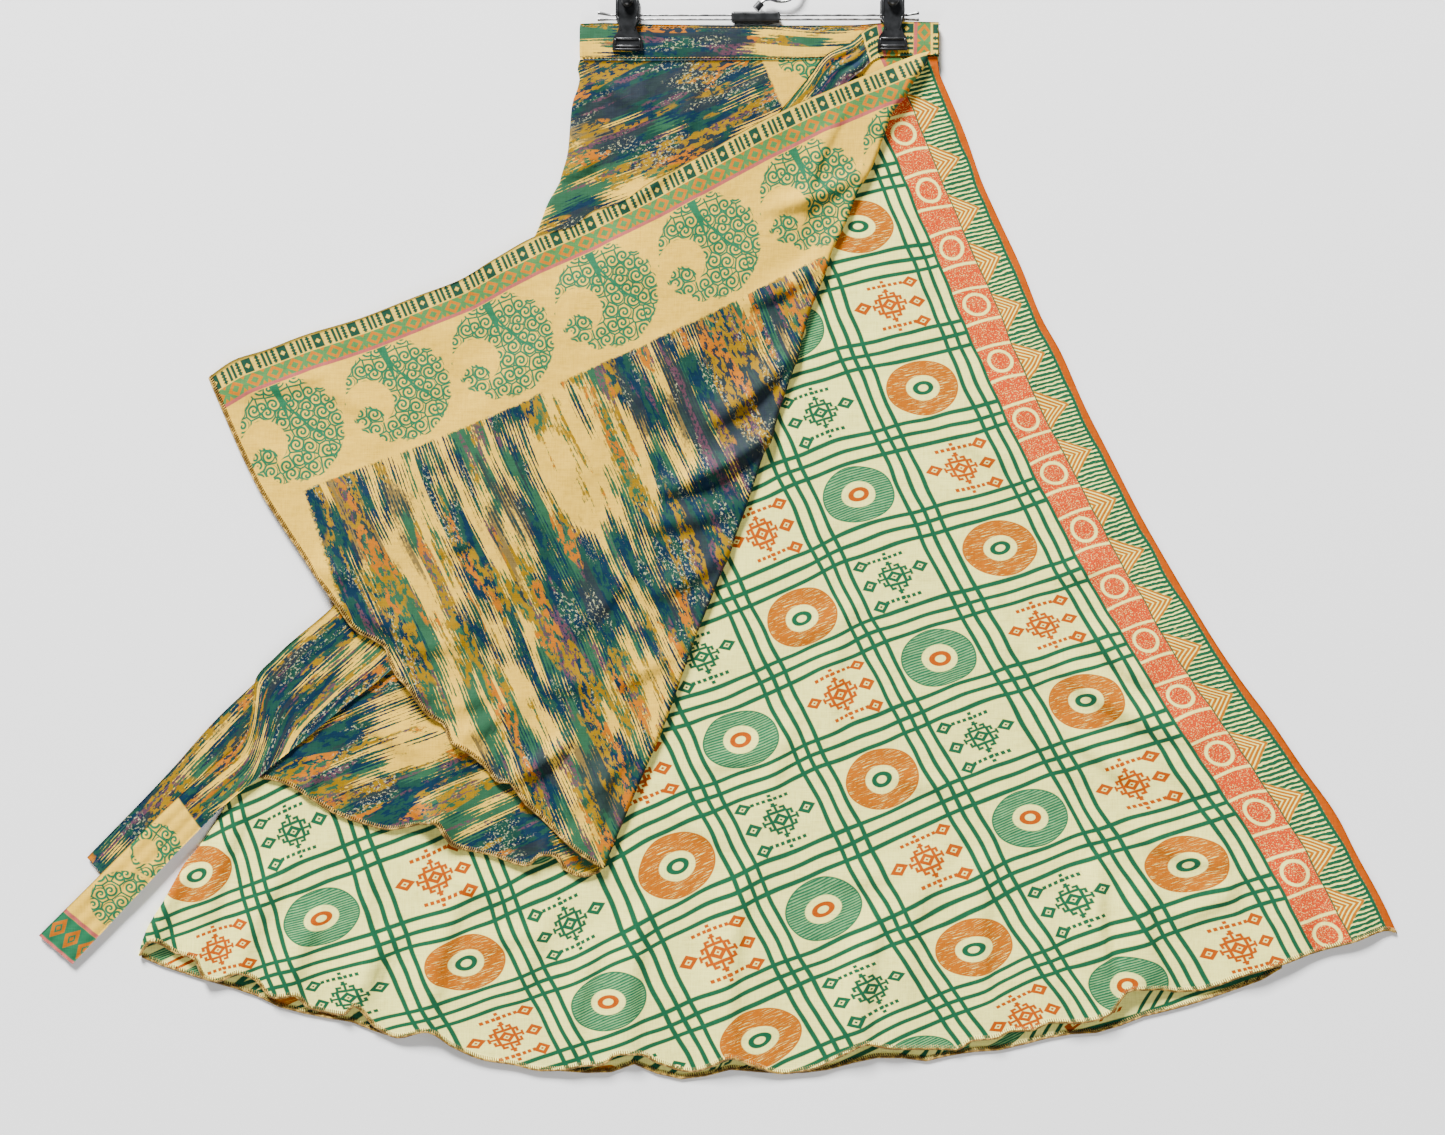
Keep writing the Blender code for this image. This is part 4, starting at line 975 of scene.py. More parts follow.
def stroke_colour(along, out, tone, fine=1.0):
    """Brush strokes that run outward: blue, green, olive, orange and mauve over beige."""
    drift = (noise(along, out * 0.6, 1.1, 1.0, 0.5, 11.0) - 0.5) * 0.16
    line = (along + drift) * STROKE_LINES
    lane = line.whole() * (fine / STROKE_LINES)
    side = along * fine
    tooth = (line.part() - 0.5).size() * 2.0
    grain = noise(along, out * 0.6, 44.0, 2.0, 0.60, 9.0)
    jitter = ((noise(line.whole() * 0.77, out * 0.25, 1.0, 0.0) - 0.5) * 0.13
              + (grain - 0.5) * 0.11)
    dark = noise(lane, out * 0.19, 3.4, 3.0, 0.58, 1.0) + jitter + tone * 0.16
    green = noise(lane, out * 0.17, 5.2, 3.0, 0.58, 2.0) + jitter + tone * 0.06
    # Slate patches: partly the print's own slate, partly painted shade
    slate_and_shade = noise(lane, out * 0.16, 4.0, 2.0, 0.50, 6.0) + jitter + tone * 0.12
    mauve = noise(side, out * 0.10, 9.0, 1.0, 0.50, 5.0)
    columns = noise(side, out * 0.20, 4.4, 1.0, 0.50, 3.5) - tone * 0.05
    blots = noise(along, out * 0.40, 22.0, 3.0, 0.64, 3.0) + (grain - 0.5) * 0.10
    embers = noise(side, out * 0.30, 5.0, 1.0, 0.55, 4.0) + (grain - 0.5) * 0.06
    flecks = noise(along, out * 0.60, 50.0, 2.0, 0.70, 7.0)
    patches = noise(side, out * 0.22, 5.5, 1.0, 0.50, 8.0)
    mottled = noise(along, out * 0.30, 14.0, 3.0, 0.70, 14.0).over(0.500, 0.04)

    deep = combed(dark, tooth, 0.548, 0.095)
    streaked = mauve.over(0.605, 0.02) * grain.over(0.47, 0.06) * green.over(0.48, 0.03)
    blotted = columns.over(0.515, 0.02) * blots.over(0.495, 0.02) * green.over(0.465, 0.04)
    speckle = flecks.over(0.585, 0.04) * patches.over(0.570, 0.06) * dark.over(0.545, 0.02)
    colour = WARM_BEIGE
    for over, share in ((MOSS, combed(green, tooth, 0.520, 0.085)),
                        (BLUE, deep),
                        (DARK_GREEN, deep * mottled * 0.9),
                        (SLATE_AND_SHADE, slate_and_shade.over(0.62, 0.04) * 0.8),
                        (MAUVE, streaked * 0.8),
                        (OLIVE, blotted),
                        (STROKE_ORANGE, blotted * embers.over(0.570, 0.02)),
                        (PALE, speckle * 0.65)):
        colour = blend(colour, over, share)
    return colour


# The pitches of the opening edge's marks and of its diamonds
FILM_BEAT = 0.37
GEM_BEAT = 0.21


def film_border(along, out):
    """The opening edge's border: blocks and bars, zigzags with diamonds, and a pink line."""
    beat = (along / FILM_BEAT).part()
    block = beat.within(0.05, 0.31, 0.02)
    window = (beat - 0.18).size() * FILM_BEAT + (out - 0.095).size()
    teeth = ((out * 32.0).part() - 0.5).size() * 0.09
    combs = [((beat - place).size() + teeth).under(0.072, 0.02) for place in (0.435, 0.885)]
    marks = (block * window.under(0.026, 0.008).inverse()).larger(
        bars(beat, (0.585, 0.715), 0.040, 0.02), *combs)
    strip = blend(FILM_GROUND, FILM_MARK, marks * out.within(0.022, 0.165, 0.006))
    gem_side = ((along / GEM_BEAT).part() - 0.5).size() * GEM_BEAT
    gems = (gem_side / 0.086 + (out - 0.250).size() / 0.076).within(0.50, 1.0, 0.08)
    tooth_side = ((along / GEM_BEAT + 0.5).part() - 0.5).size() * GEM_BEAT
    feet = ((tooth_side - 0.024).size() - (out - 0.316) * 0.55).under(0.017, 0.008)
    caps = (tooth_side + (out - 0.182) * 0.9).under(0.022, 0.008)
    band = blend(BAND_GREEN, GOLD_ORANGE, gems.larger(feet, caps))
    colour = blend(strip, band, out.over(0.175, 0.006))
    colour = blend(colour, PINK, out.over(0.325, 0.006))
    return blend(colour, WARM_BEIGE, out.over(0.360, 0.006))


# The round trees along the opening edge, and where the strokes start and end
FIRST_TREE = 1.647
TREE_PITCH = 1.136
TREE_OUT = 0.85
STROKES_FROM = 1.45
STROKES_END = 7.45


def flap_print(tree):
    """The outer layer's print by its distance from the opening edge and along it."""
    along, out, tone = cloth_fields(tree)
    spot = (along - FIRST_TREE) / TREE_PITCH + 0.5
    trees = scroll_tree((spot.part() - 0.5) * TREE_PITCH, out - TREE_OUT)
    tree_band = blend(WARM_BEIGE, LEAF_GREEN, trees * out.within(0.36, 1.42, 0.01))
    colour = blend(film_border(along, out), tree_band, out.over(0.365, 0.005))
    ragged = (noise(along, out, 30.0, 2.0, 0.6, 12.0) - 0.5) * 0.06
    started = (out + ragged).over(STROKES_FROM, 0.02)
    margin = (along + ragged * 2.0 - (out - STROKES_FROM) * 0.10).under(STROKES_END, 0.03)
    return blend(colour, stroke_colour(along, out, tone), started * margin)


# The upper tie's length, and the width of the two borders at its start, in 100 pixels
START_RUN = 12.80
START_BORDER = 0.335


def tie_colour(tree):
    """The upper tie's print: an end border, scrolls, strokes, and two borders at its start."""
    across, run, tone = cloth_fields(tree)
    stroked = stroke_colour(across, run, tone, 2.1)
    crowns = round_patch(across, run, 0.24, 1.42, 0.27) * round_patch(
        across, run, 0.16, 1.34, 0.12).inverse()
    crowns = crowns.larger(round_patch(across, run, 0.34, 0.82, 0.31))
    plain = blend(WARM_BEIGE, LEAF_GREEN, scrolls(across, run) * crowns)
    colour = blend(plain, stroked, run.over(1.92, 0.015))
    gem_side = ((run - 0.19) / 0.30 + 0.5).part() - 0.5
    gem_rise = (across / 0.17).part() - 0.5
    gem = gem_side.size() * 2.3 + gem_rise.size() * 2.3
    gems = gem.within(0.50, 1.0, 0.1).larger(gem.under(0.25, 0.1))
    colour = blend(colour, blend(LEAF_GREEN, ORANGE, gems), run.under(0.35, 0.01))
    colour = blend(colour, PINK, run.within(0.35, 0.39, 0.008).larger(run.under(0.03, 0.008)))
    place = ((run - START_RUN) * (-1.0 / START_BORDER)).part()
    film_part = place.over(0.51, 0.01)
    out = (place * 0.35 + 0.185) * film_part.inverse() + place.inverse() * 0.34 * film_part
    return blend(colour, film_border(across, out),
                 run.over(START_RUN - 2 * START_BORDER, 0.008))


HemFrame = namedtuple("HemFrame", "edge inward normal")


def hem_frame(base, thickness):
    """The middle line of a grid's lower edge, the way back into the cloth, and its normal."""
    normal = grid_normals(base)[-1]
    return HemFrame(base[-1] + normal * thickness / 2, unit(base[-3] - base[-1]), normal)


def evened(frame_line, pitch):
    """A hem's line read again at an even pitch."""
    run = run_along(frame_line.edge)
    at = np.arange(pitch / 2, run[-1], pitch)
    return HemFrame(*(np.stack([np.interp(at, run, part[:, axis]) for axis in range(3)], -1)
                      for part in frame_line))


def tube_mesh(paths, sides, radius, corners):
    """Round threads along many paths of equal count; sides are vectors square to each path."""
    count, knots = paths.shape[:2]
    tangent = unit(np.gradient(paths, axis=1))
    across = unit(sides - (sides * tangent).sum(-1, keepdims=True) * tangent)
    other = np.cross(tangent, across)
    turn = np.linspace(0.0, 2 * math.pi, corners, endpoint=False)[:, None]
    ring = across[:, :, None] * np.cos(turn) + other[:, :, None] * np.sin(turn)
    points = paths[:, :, None] + ring * np.broadcast_to(radius, (count, knots))[..., None, None]
    index = np.arange(count * knots * corners).reshape(count, knots, corners)
    after = np.roll(index, -1, axis=2)
    faces = np.stack([index[:, :-1], after[:, :-1], after[:, 1:], index[:, 1:]], -1)
    faces = faces.reshape(-1, 4).tolist()
    caps = np.concatenate([index[:, 0, ::-1], index[:, -1]]).tolist()
    return points.reshape(-1, 3), faces + caps


def make_piece(name, parts, material):
    """One smooth piece from closed parts, each its points and faces."""
    points = []
    faces = []
    for some, some_faces in parts:
        first = sum(len(part) for part in points)
        points.append(some)
        faces.extend([[first + corner for corner in face] for face in some_faces])
    mesh = bpy.data.meshes.new(name)
    mesh.from_pydata(np.concatenate(points).tolist(), [], faces)
    return add_piece(name, mesh, material)


# The hems' threads: a cord, loops over it from a reach in the cloth, and the band's stitches
CORD_STEP = 0.0025
CORD_RADIUS = 0.0012
LOOP_STEP = 0.0021
LOOP_RADIUS = 0.00045
LOOP_REACH = 0.0034
LOOP_SLANT = 0.35
Station = namedtuple("Station", "back rise along")
STITCH_LENGTH = 0.0026
STITCH_GAP = 0.0009
STITCH_RADIUS = 0.00035


def overlock(frame_line, half):
    """Threads wrapped round a hem: a cord along the edge and slanted loops over it."""
    cord = evened(frame_line, CORD_STEP)
    edge = (cord.edge - cord.inward * 0.0002)[None]
    loops = evened(frame_line, LOOP_STEP)
    run = np.gradient(loops.edge, axis=0)
    out = half + 0.0004
    stations = rows_of(Station, [
        (LOOP_REACH, out, -1.0), (0.3 * LOOP_REACH, out + 0.0003, -0.3), (-0.0011, 0.0, 0.2),
        (0.3 * LOOP_REACH, -out - 0.0001, 0.6), (0.9 * LOOP_REACH, -out, 1.0),
    ])
    paths = np.stack([loops.edge + loops.inward * station.back + loops.normal * station.rise
                      + run * LOOP_SLANT * station.along for station in stations], axis=1)
    sides = np.repeat(run[:, None], len(stations), axis=1)
    return [(edge, cord.inward[None], CORD_RADIUS, 6), (paths, sides, LOOP_RADIUS, 5)]


def run_stitches(line, normal):
    """A row of straight stitches on a line of points, sunk at both ends."""
    frame_line = evened(HemFrame(line, normal, normal), STITCH_LENGTH + STITCH_GAP)
    step = unit(np.gradient(frame_line.edge, axis=0))
    shape = [(-0.5, -0.6), (-0.32, 0.5), (0.32, 0.5), (0.5, -0.6)]
    paths = np.stack([frame_line.edge + step * STITCH_LENGTH * along
                      + frame_line.normal * STITCH_RADIUS * rise for along, rise in shape], axis=1)
    sides = np.repeat(np.cross(step, frame_line.normal)[:, None], len(shape), axis=1)
    return (paths, sides, STITCH_RADIUS, 5)


def make_thread_material():
    """Golden brown sewing thread, lighter in random patches."""
    material, tree, shader = start_cloth("hem_thread", 0.5, 0.25, 0.1)
    x, y, _ = object_fields(tree)
    tint = noise(x, y, 160.0, 3.0, 0.7).over(0.54, 0.12)
    connect(tree, blend(THREAD, THREAD_LIGHT, tint), shader.inputs["Base Color"])
    return material


def make_plastic_material():
    """Black moulded plastic with a faint grain and worn patches."""
    material, tree, shader = start_material("moulded_plastic", 0.34)
    x, y, _ = object_fields(tree)
    wear = noise(x, y, 90.0, 3.0, 0.6, 3.0)
    colour = blend((0.006, 0.0065, 0.007), (0.022, 0.023, 0.025), wear.over(0.5, 0.4))
    connect(tree, colour, shader.inputs["Base Color"])
    connect(tree, wear.math("MULTIPLY_ADD", 0.25, 0.20), shader.inputs["Roughness"])
    add_bump(tree, shader, noise(x, y, 900.0, 2.0, 0.6), 0.12, 0.0002)
    return material


def make_steel_material():
    """Bright drawn wire with fine drawing marks and slight dulling."""
    material, tree, shader = start_material("bright_wire", 0.22)
    x, y, _ = object_fields(tree)
    dull = noise(x, y, 140.0, 3.0, 0.6)
    colour = blend((0.10, 0.10, 0.10), (0.34, 0.34, 0.34), dull.over(0.5, 0.3))
    connect(tree, colour, shader.inputs["Base Color"])
    connect(tree, dull.math("MULTIPLY_ADD", 0.3, 0.20), shader.inputs["Roughness"])
    shader.inputs["Metallic"].default_value = 1.0
    add_bump(tree, shader, noise(x * 0.05, y * 4.0, 900.0, 2.0, 0.5), 0.08, 0.0001)
    return material


# The clips: their middle, and the heights of their front jaw's face at the tip and rivet
Clip = namedtuple("Clip", "name x face rivet_top")
CLIPS = rows_of(Clip, [
    ("left", -0.0835, 0.0102, 0.0184), ("right", 0.1589, 0.0117, 0.0199),
])
JAW_TIP = 0.4283
JAW_SLOPE = math.tan(math.radians(6.0))
RIVET_Y = 0.4723
# Raised ribs of a front jaw: both ends across and up from its tip, and their radius
Rib = namedtuple("Rib", "x0 up0 x1 up1 radius")
RIBS = rows_of(Rib, [
    (-0.0112, 0.0036, 0.0112, 0.0036, 0.0011), (-0.0112, 0.0102, 0.0112, 0.0102, 0.0011),
    (-0.0112, 0.0036, -0.0112, 0.0102, 0.0009), (0.0112, 0.0036, 0.0112, 0.0102, 0.0009),
    (-0.0118, 0.0010, 0.0118, 0.0010, 0.0007), (-0.0088, 0.0300, -0.0088, 0.0460, 0.0009),
    (0.0088, 0.0300, 0.0088, 0.0460, 0.0009), (-0.0062, 0.0180, -0.0088, 0.0300, 0.0008),
    (0.0062, 0.0180, 0.0088, 0.0300, 0.0008),
])
# A rivet's domed head: radius and height
Turn = namedtuple("Turn", "radius rise")
DOME = rows_of(Turn, [
    (0.0050, -0.0004), (0.0053, 0.0002), (0.0053, 0.0007), (0.0049, 0.0013), (0.0041, 0.0019),
    (0.0029, 0.0024), (0.0014, 0.0027), (0.0003, 0.0028),
])


def rib_mesh(clip, rib):
    """A round rib half sunk in a front jaw, with both ends dipping under its face."""
    shares = np.array([0.0, 0.06, 0.35, 0.65, 0.94, 1.0])
    dips = np.array([-1.2, 0.1, 0.1, 0.1, 0.1, -1.2]) * rib.radius
    across = clip.x + rib.x0 + (rib.x1 - rib.x0) * shares
    up = rib.up0 + (rib.up1 - rib.up0) * shares
    path = np.stack([across, JAW_TIP + up, clip.face + up * JAW_SLOPE + dips], -1)
    side = np.broadcast_to((rib.up1 - rib.up0, rib.x0 - rib.x1, 0.0), path.shape)
    return tube_mesh(path[None], side[None], rib.radius, 10)


def dome_mesh(clip):
    """The domed head of a front jaw's rivet."""
    path = np.array([(clip.x, RIVET_Y, clip.rivet_top + row.rise) for row in DOME])
    side = np.broadcast_to((1.0, 0.0, 0.0), path.shape)
    return tube_mesh(path[None], side[None], [[row.radius for row in DOME]], 32)


# The number of cells of the two skirts' grids
INNER_ROWS = 196
INNER_FRONT = 200
INNER_BACK = 48
OUTER_ROWS = 160
OUTER_FLAT = 84
OUTER_FLAP = 140
OUTER_BACK = 40
# Steps round the folds: the inner layer's and the band's, the outer layer's left one, which is
# flatter, and the flap's
CURL_STEPS = 3
LIP_STEPS = 5
LIP_REACH = 0.6
FOLD_STEPS = 6
# The hidden backs: their thickness, and on the fan the angle and ends of their free edges
BACK_CLOTH = 0.00055
BACK_START_REACH = WAIST_REACH + 0.04
BACK_END_ANGLE = 21.7
INNER_BACK_REACH = 1.308
OUTER_BACK_ANGLE = 21.0
OUTER_BACK_REACH = 1.138
# Past its hidden back the inner skirt comes down to the surface
FREE_START = 0.006
FREE_FALL = 0.060
# The left folds: how far the layers draw in, the inner one only above these pixel rows
UNDER_FOLD = 0.0026
UNDER_FOLD_ROWS = (760.0, 800.0)
OUTER_LEFT_INSET = CLOTH + 0.0004
# The flap's fold stands a little round
FLAP_PUFF = 0.0030
FLAP_PUFF_WIDTH = 0.016


def panel(left, right, bottom, columns):
    """A layer's grid in plan, from the band's seam down to a lower edge, its corners joined."""
    top = waist_line(to_pixel(*left[0])[0], to_pixel(*right[0])[0], columns + 1)
    left = np.vstack([top[:1], left[1:]])
    right = np.vstack([top[-1:], right[1:]])
    bottom = np.vstack([left[-1:], bottom[1:-1], right[-1:]])
    return patch(top, bottom, left, right)


def back_edge(angle, reach, rows):
    """The hidden back's free edge, straight down the fan to a distance from its point."""
    return np.stack(on_fan(angle, np.linspace(BACK_START_REACH, reach, rows + 1)), -1)


def make_inner_skirt(material):
    """The plaid layer: its hidden back, the fold at the left, and its front down to the hem."""
    shares = shares_of(INNER_ROWS)
    edge = along_outline(LEFT_EDGE, shares)
    _, pixel_row = to_pixel(edge[:, 0], edge[:, 1])
    inset = CLOTH + UNDER_FOLD * (1 - smooth_step(pixel_row, *UNDER_FOLD_ROWS))
    hem = along_outline(INNER_HEM, shares_of(INNER_FRONT))
    front = panel(shifted(edge, inset), along_outline(RIGHT_EDGE, shares), hem, INNER_FRONT)
    x, y = front[..., 0], front[..., 1]
    angle, reach = to_fan(x, y)
    past_back = np.radians(np.maximum(angle - BACK_END_ANGLE, 0.0)) * reach
    settle = INNER_LOW * smooth_step(past_back, FREE_START, FREE_START + FREE_FALL)
    height = (INNER_LOW + lift_at(x, y) - settle + inner_rise(x, y)
              + ruffle_height(x, shares, INNER_RUFFLED, INNER_RUFFLES))
    back_hem = along_outline(BACK_HEM, shares_of(INNER_BACK))
    free = back_edge(BACK_END_ANGLE, INNER_BACK_REACH, INNER_ROWS)
    free[-1] = back_hem[-1]
    back = panel(front[:, 0], free, back_hem, INNER_BACK)[:, ::-1]
    back = with_height(back, BACK_TOP + lift_at(back[..., 0], back[..., 1]))
    front = with_height(front, height)
    curl = half_turn(back[:, -1], front[:, 0], CURL_STEPS, 1.0)
    base = np.concatenate([back, curl, front], axis=1)
    thickness = np.full(base.shape[1], CLOTH)
    thickness[:INNER_BACK + 2] = BACK_CLOTH
    cloth = plaid_places(base, INNER_BACK)
    shell = make_shell("inner_skirt", base, thickness[None], cloth, material)
    return shell, hem_frame(front, CLOTH), hem_frame(back[:, ::-1], -BACK_CLOTH)


def half_turn(start, end, steps, side):
    """Columns of points for a half turn between two layers' ends, to the left or right side."""
    middle = (start + end) / 2
    half = (end[:, 2] - start[:, 2]) / 2
    run = unit(np.gradient(middle[:, :2], axis=0))
    outward = np.stack([run[:, 1], -run[:, 0]], -1)
    columns = []
    for swing in math.pi * shares_of(steps)[1:-1]:
        point = middle.copy()
        point[:, :2] += outward * (side * half * math.sin(swing))[:, None]
        point[:, :2] += (start[:, :2] - end[:, :2]) * math.cos(swing) / 2
        point[:, 2] = middle[:, 2] - half * math.cos(swing)
        columns.append(point)
    return np.stack(columns, axis=1)


# Middles of the plaid's cells, counted in columns to the right and rows down
PlaidCell = namedtuple("PlaidCell", "column row x y")
PLAID = rows_of(PlaidCell, [
    (0, 0, 858, 227), (0, 1, 890, 305), (0, 2, 922, 389), (0, 3, 962, 468), (0, 4, 1000, 549),
    (0, 5, 1043, 625), (0, 6, 1087, 699), (0, 7, 1130, 785), (0, 8, 1188, 863),
    (0, 9, 1236, 945), (-1, 2, 820, 413), (-1, 3, 858, 494), (-1, 4, 893, 576),
    (-1, 5, 939, 658), (-1, 6, 980, 736), (-1, 7, 1031, 817), (-1, 8, 1072, 898),
    (-1, 9, 1125, 985), (-2, 3, 762, 535), (-2, 4, 803, 619), (-2, 5, 840, 692),
    (-2, 6, 883, 780), (-2, 7, 926, 858), (-2, 8, 973, 951), (-2, 9, 1025, 1013),
    (-3, 4, 703, 657), (-3, 5, 741, 741), (-3, 6, 780, 817), (-3, 7, 823, 911),
    (-3, 8, 870, 985), (-4, 5, 633, 775), (-4, 6, 679, 864), (-4, 7, 718, 950),
    (-4, 8, 760, 1039), (-5, 6, 570, 925), (-5, 7, 608, 1000), (-6, 5, 437, 876),
    (-6, 6, 467, 963), (-6, 7, 508, 1035), (-7, 4, 293, 830), (-7, 5, 322, 918),
    (-7, 6, 350, 995), (-8, 4, 200, 875), (-8, 5, 218, 948),
])
# Places on the plaid between the cells: crossings of its lines and rings of its border
PlaidPlace = namedtuple("PlaidPlace", "across down x y")
PLAID_PLACES = rows_of(PlaidPlace, [
    (0.5, -0.5, 890, 175), (0.5, 0.5, 923, 258), (0.5, 1.5, 956, 336), (0.5, 4.5, 1070, 574),
])
PLAID_EDGE = 1.384
BORDER_RINGS = rows_of(Place, [
    (904, 135), (928, 191), (952, 249), (976, 305), (1000, 360), (1025, 421), (1053, 472),
    (1083, 529),
])
LOW_BORDER_RINGS = rows_of(Place, [
    (1219, 753), (1258, 811), (1293, 873), (1325, 934),
])
LOW_RING_FIRST = 11
RING_ACROSS = 0.808
SPLINE_UNIT = 1000.0
SPLINE_SOFTNESS = 0.004


def spline_kernel(start, end):
    """How much each place bends a smooth surface at each other place."""
    apart = ((start[:, None] - end[None]) ** 2).sum(-1)
    return np.where(apart > 0, apart * np.log(np.maximum(apart, 1e-12)), 0.0)


def spline_through(places, values):
    """A smooth surface through values at places, as a function that reads it anywhere."""
    places = np.array(places, float) / SPLINE_UNIT
    count = len(places)
    flat = np.hstack([np.ones((count, 1)), places])
    kernel = spline_kernel(places, places) + SPLINE_SOFTNESS * np.eye(count)
    system = np.block([[kernel, flat], [flat.T, np.zeros((3, 3))]])
    weights = np.linalg.solve(system, np.concatenate([values, np.zeros(3)]))

    def read(points):
        points = points / SPLINE_UNIT
        bend = spline_kernel(points, places) @ weights[:count]
        return bend + weights[count] + points @ weights[count + 1:]

    return read


def plaid_splines():
    """How far across and down the plaid each place in the photograph lies."""
    known = [(cell.x, cell.y, cell.column, cell.row) for cell in PLAID]
    known += [(place.x, place.y, place.across, place.down) for place in PLAID_PLACES]
    for first, rings in ((0, BORDER_RINGS), (LOW_RING_FIRST, LOW_BORDER_RINGS)):
        known += [(place.x, place.y, RING_ACROSS, FIRST_RING + RING_PITCH * number)
                  for number, place in enumerate(rings, first)]
    known = np.array(known, float)
    edge = np.array(RIGHT_EDGE[4:], float)
    across = spline_through(np.vstack([known[:, :2], edge]),
                            np.concatenate([known[:, 2], np.full(len(edge), PLAID_EDGE)]))
    down = spline_through(known[:, :2], known[:, 3])
    return across, down


def plaid_places(base, back_columns):
    """Each point's place on the plaid; the back goes on from the front past the left fold."""
    across, down = plaid_splines()
    rows, columns = base.shape[:2]
    pixels = np.stack(to_pixel(base[..., 0], base[..., 1]), -1).reshape(-1, 2)
    place = np.zeros(base.shape)
    place[..., 0] = across(pixels).reshape(rows, columns)
    place[..., 1] = down(pixels).reshape(rows, columns)
    fold = place[:, back_columns + 1, 0][:, None]
    back = place[:, :back_columns + 1, 0]
    place[:, :back_columns + 1, 0] = 2 * fold - back
    return place


# The brush-stroke cloth: its opening edge as a line, how far that edge sags, and the front fold
BORDER_START = (928.0, 56.0)
BORDER_ALONG = (-0.913, 0.408)
BORDER_OUT = (0.408, 0.913)
Sag = namedtuple("Sag", "along out")
BORDER_SAG = rows_of(Sag, [
    (0, 0), (71, -5), (128, -7), (188, -5), (249, 0), (310, 5), (380, 8), (430, 7), (476, 9),
    (518, 14), (564, 12), (626, 8), (682, 1), (726, -2), (756, -4), (786, 0),
])
SAG_REACH = 250.0
FOLD_PLACE = (905.0, 95.0)
FOLD_ALONG = (-0.364, 0.931)

# Where the strokes are dark or plain: the middle and size of each area, from -1 plain to 1 dark
Tone = namedtuple("Tone", "x y size amount")
# The dark areas beside the front fold are partly painted shade of the fold
FLAP_TONES = rows_of(Tone, [
    (752, 425, 62, 1.1), (772, 330, 40, 0.8), (700, 520, 45, 0.7), (585, 600, 46, 0.9),
    (345, 530, 50, 0.7), (680, 400, 35, 0.5), (560, 450, 46, -1.0), (615, 470, 34, -0.8),
    (480, 700, 42, -0.9), (620, 705, 30, -0.7), (430, 560, 40, -0.4), (690, 620, 34, 0.6),
    (560, 770, 42, 0.6), (650, 400, 26, 0.3), (390, 640, 34, 0.2), (310, 570, 24, -0.6),
    (530, 560, 40, -0.1), (730, 580, 30, 0.9),
])
FLAT_TONES = rows_of(Tone, [
    (625, 90, 54, 1.4), (612, 140, 40, 1.0), (588, 214, 24, 0.9), (700, 85, 38, 1.2),
    (672, 128, 26, -0.5), (735, 108, 34, -0.6), (574, 152, 18, -1.0), (602, 190, 20, -0.8),
    (650, 200, 24, -0.6), (700, 150, 30, 0.8), (340, 760, 32, 0.6), (400, 705, 30, -0.5),
    (420, 760, 32, -0.5), (470, 715, 44, -0.8), (395, 800, 26, 0.6), (525, 835, 34, 0.9),
    (575, 865, 20, -1.0), (480, 830, 28, 0.2),
])
BAND_TONES = rows_of(Tone, [
    (592, 44, 20, -0.3), (660, 44, 32, 1.6), (715, 44, 38, 1.6), (790, 44, 34, -1.1),
    (845, 44, 24, -0.6),
])
# Which stretch of the strokes lies on the band
BAND_PRINT_ACROSS = 2.93
BAND_PRINT_ALONG = 1.60
BAND_PRINT_FROM = 868.0
TONE_LIMIT = 1.2


def tone_at(x, y, tones):
    """How dark or plain the strokes are over pixel places."""
    total = np.zeros(np.shape(x))
    for tone in tones:
        apart = ((x - tone.x) ** 2 + (y - tone.y) ** 2) / tone.size ** 2
        total += tone.amount * np.exp(-apart)
    return np.clip(total, -TONE_LIMIT, TONE_LIMIT)


def border_places(x, y):
    """How far along the opening edge and out from it a pixel place lies."""
    side = x - BORDER_START[0]
    rise = y - BORDER_START[1]
    along = side * BORDER_ALONG[0] + rise * BORDER_ALONG[1]
    out = side * BORDER_OUT[0] + rise * BORDER_OUT[1]
    sag = np.interp(along, [row.along for row in BORDER_SAG], [row.out for row in BORDER_SAG])
    return along, out - sag * np.exp(-np.maximum(out, 0) / SAG_REACH)


def unfolded(x, y):
    """A pixel place mirrored about the front fold."""
    side = x - FOLD_PLACE[0]
    rise = y - FOLD_PLACE[1]
    near = side * FOLD_ALONG[0] + rise * FOLD_ALONG[1]
    return (FOLD_PLACE[0] + 2 * near * FOLD_ALONG[0] - side,
            FOLD_PLACE[1] + 2 * near * FOLD_ALONG[1] - rise)


def stroke_places(base, back_columns, flap_columns):
    """Each point's place on the brush-stroke cloth, and how dark its strokes are."""
    x, y = to_pixel(base[..., 0], base[..., 1])
    flap = np.zeros(x.shape[1], bool)
    flap[-flap_columns:] = True
    along, out = border_places(*unfolded(x, y))
    flap_along, flap_out = border_places(x, y)
    along = np.where(flap, flap_along, along)
    out = np.where(flap, flap_out, out)
    tone = np.where(flap, tone_at(x, y, FLAP_TONES), tone_at(x, y, FLAT_TONES))
    fold = out[:, back_columns + 2][:, None]
    out[:, :back_columns + 1] = 2 * fold - out[:, :back_columns + 1]
    return np.stack([along / PRINT_PIXELS, out / PRINT_PIXELS, tone], -1)


def strip_places(base, tones, shift):
    """Each point's place on a strip: across it and along it from its free end."""
    run = run_along(base[:, base.shape[1] // 2, :2])
    side = np.hypot(*(base[..., :2] - base[:, :1, :2]).transpose(2, 0, 1))
    along = np.broadcast_to((run[-1] - run)[:, None], side.shape)
    tone = tone_at(*to_pixel(base[..., 0], base[..., 1]), tones)
    return np.stack([side / PRINT_UNIT + shift[0], along / PRINT_UNIT + shift[1], tone], -1)


def band_places(base):
    """Each point's place on the band's print, which runs along the band."""
    x, y = to_pixel(base[..., 0], base[..., 1])
    across = y / PRINT_PIXELS + BAND_PRINT_ACROSS
    along = (BAND_PRINT_FROM - x) / PRINT_PIXELS + BAND_PRINT_ALONG
    return np.stack([across, along, tone_at(x, y, BAND_TONES)], -1)


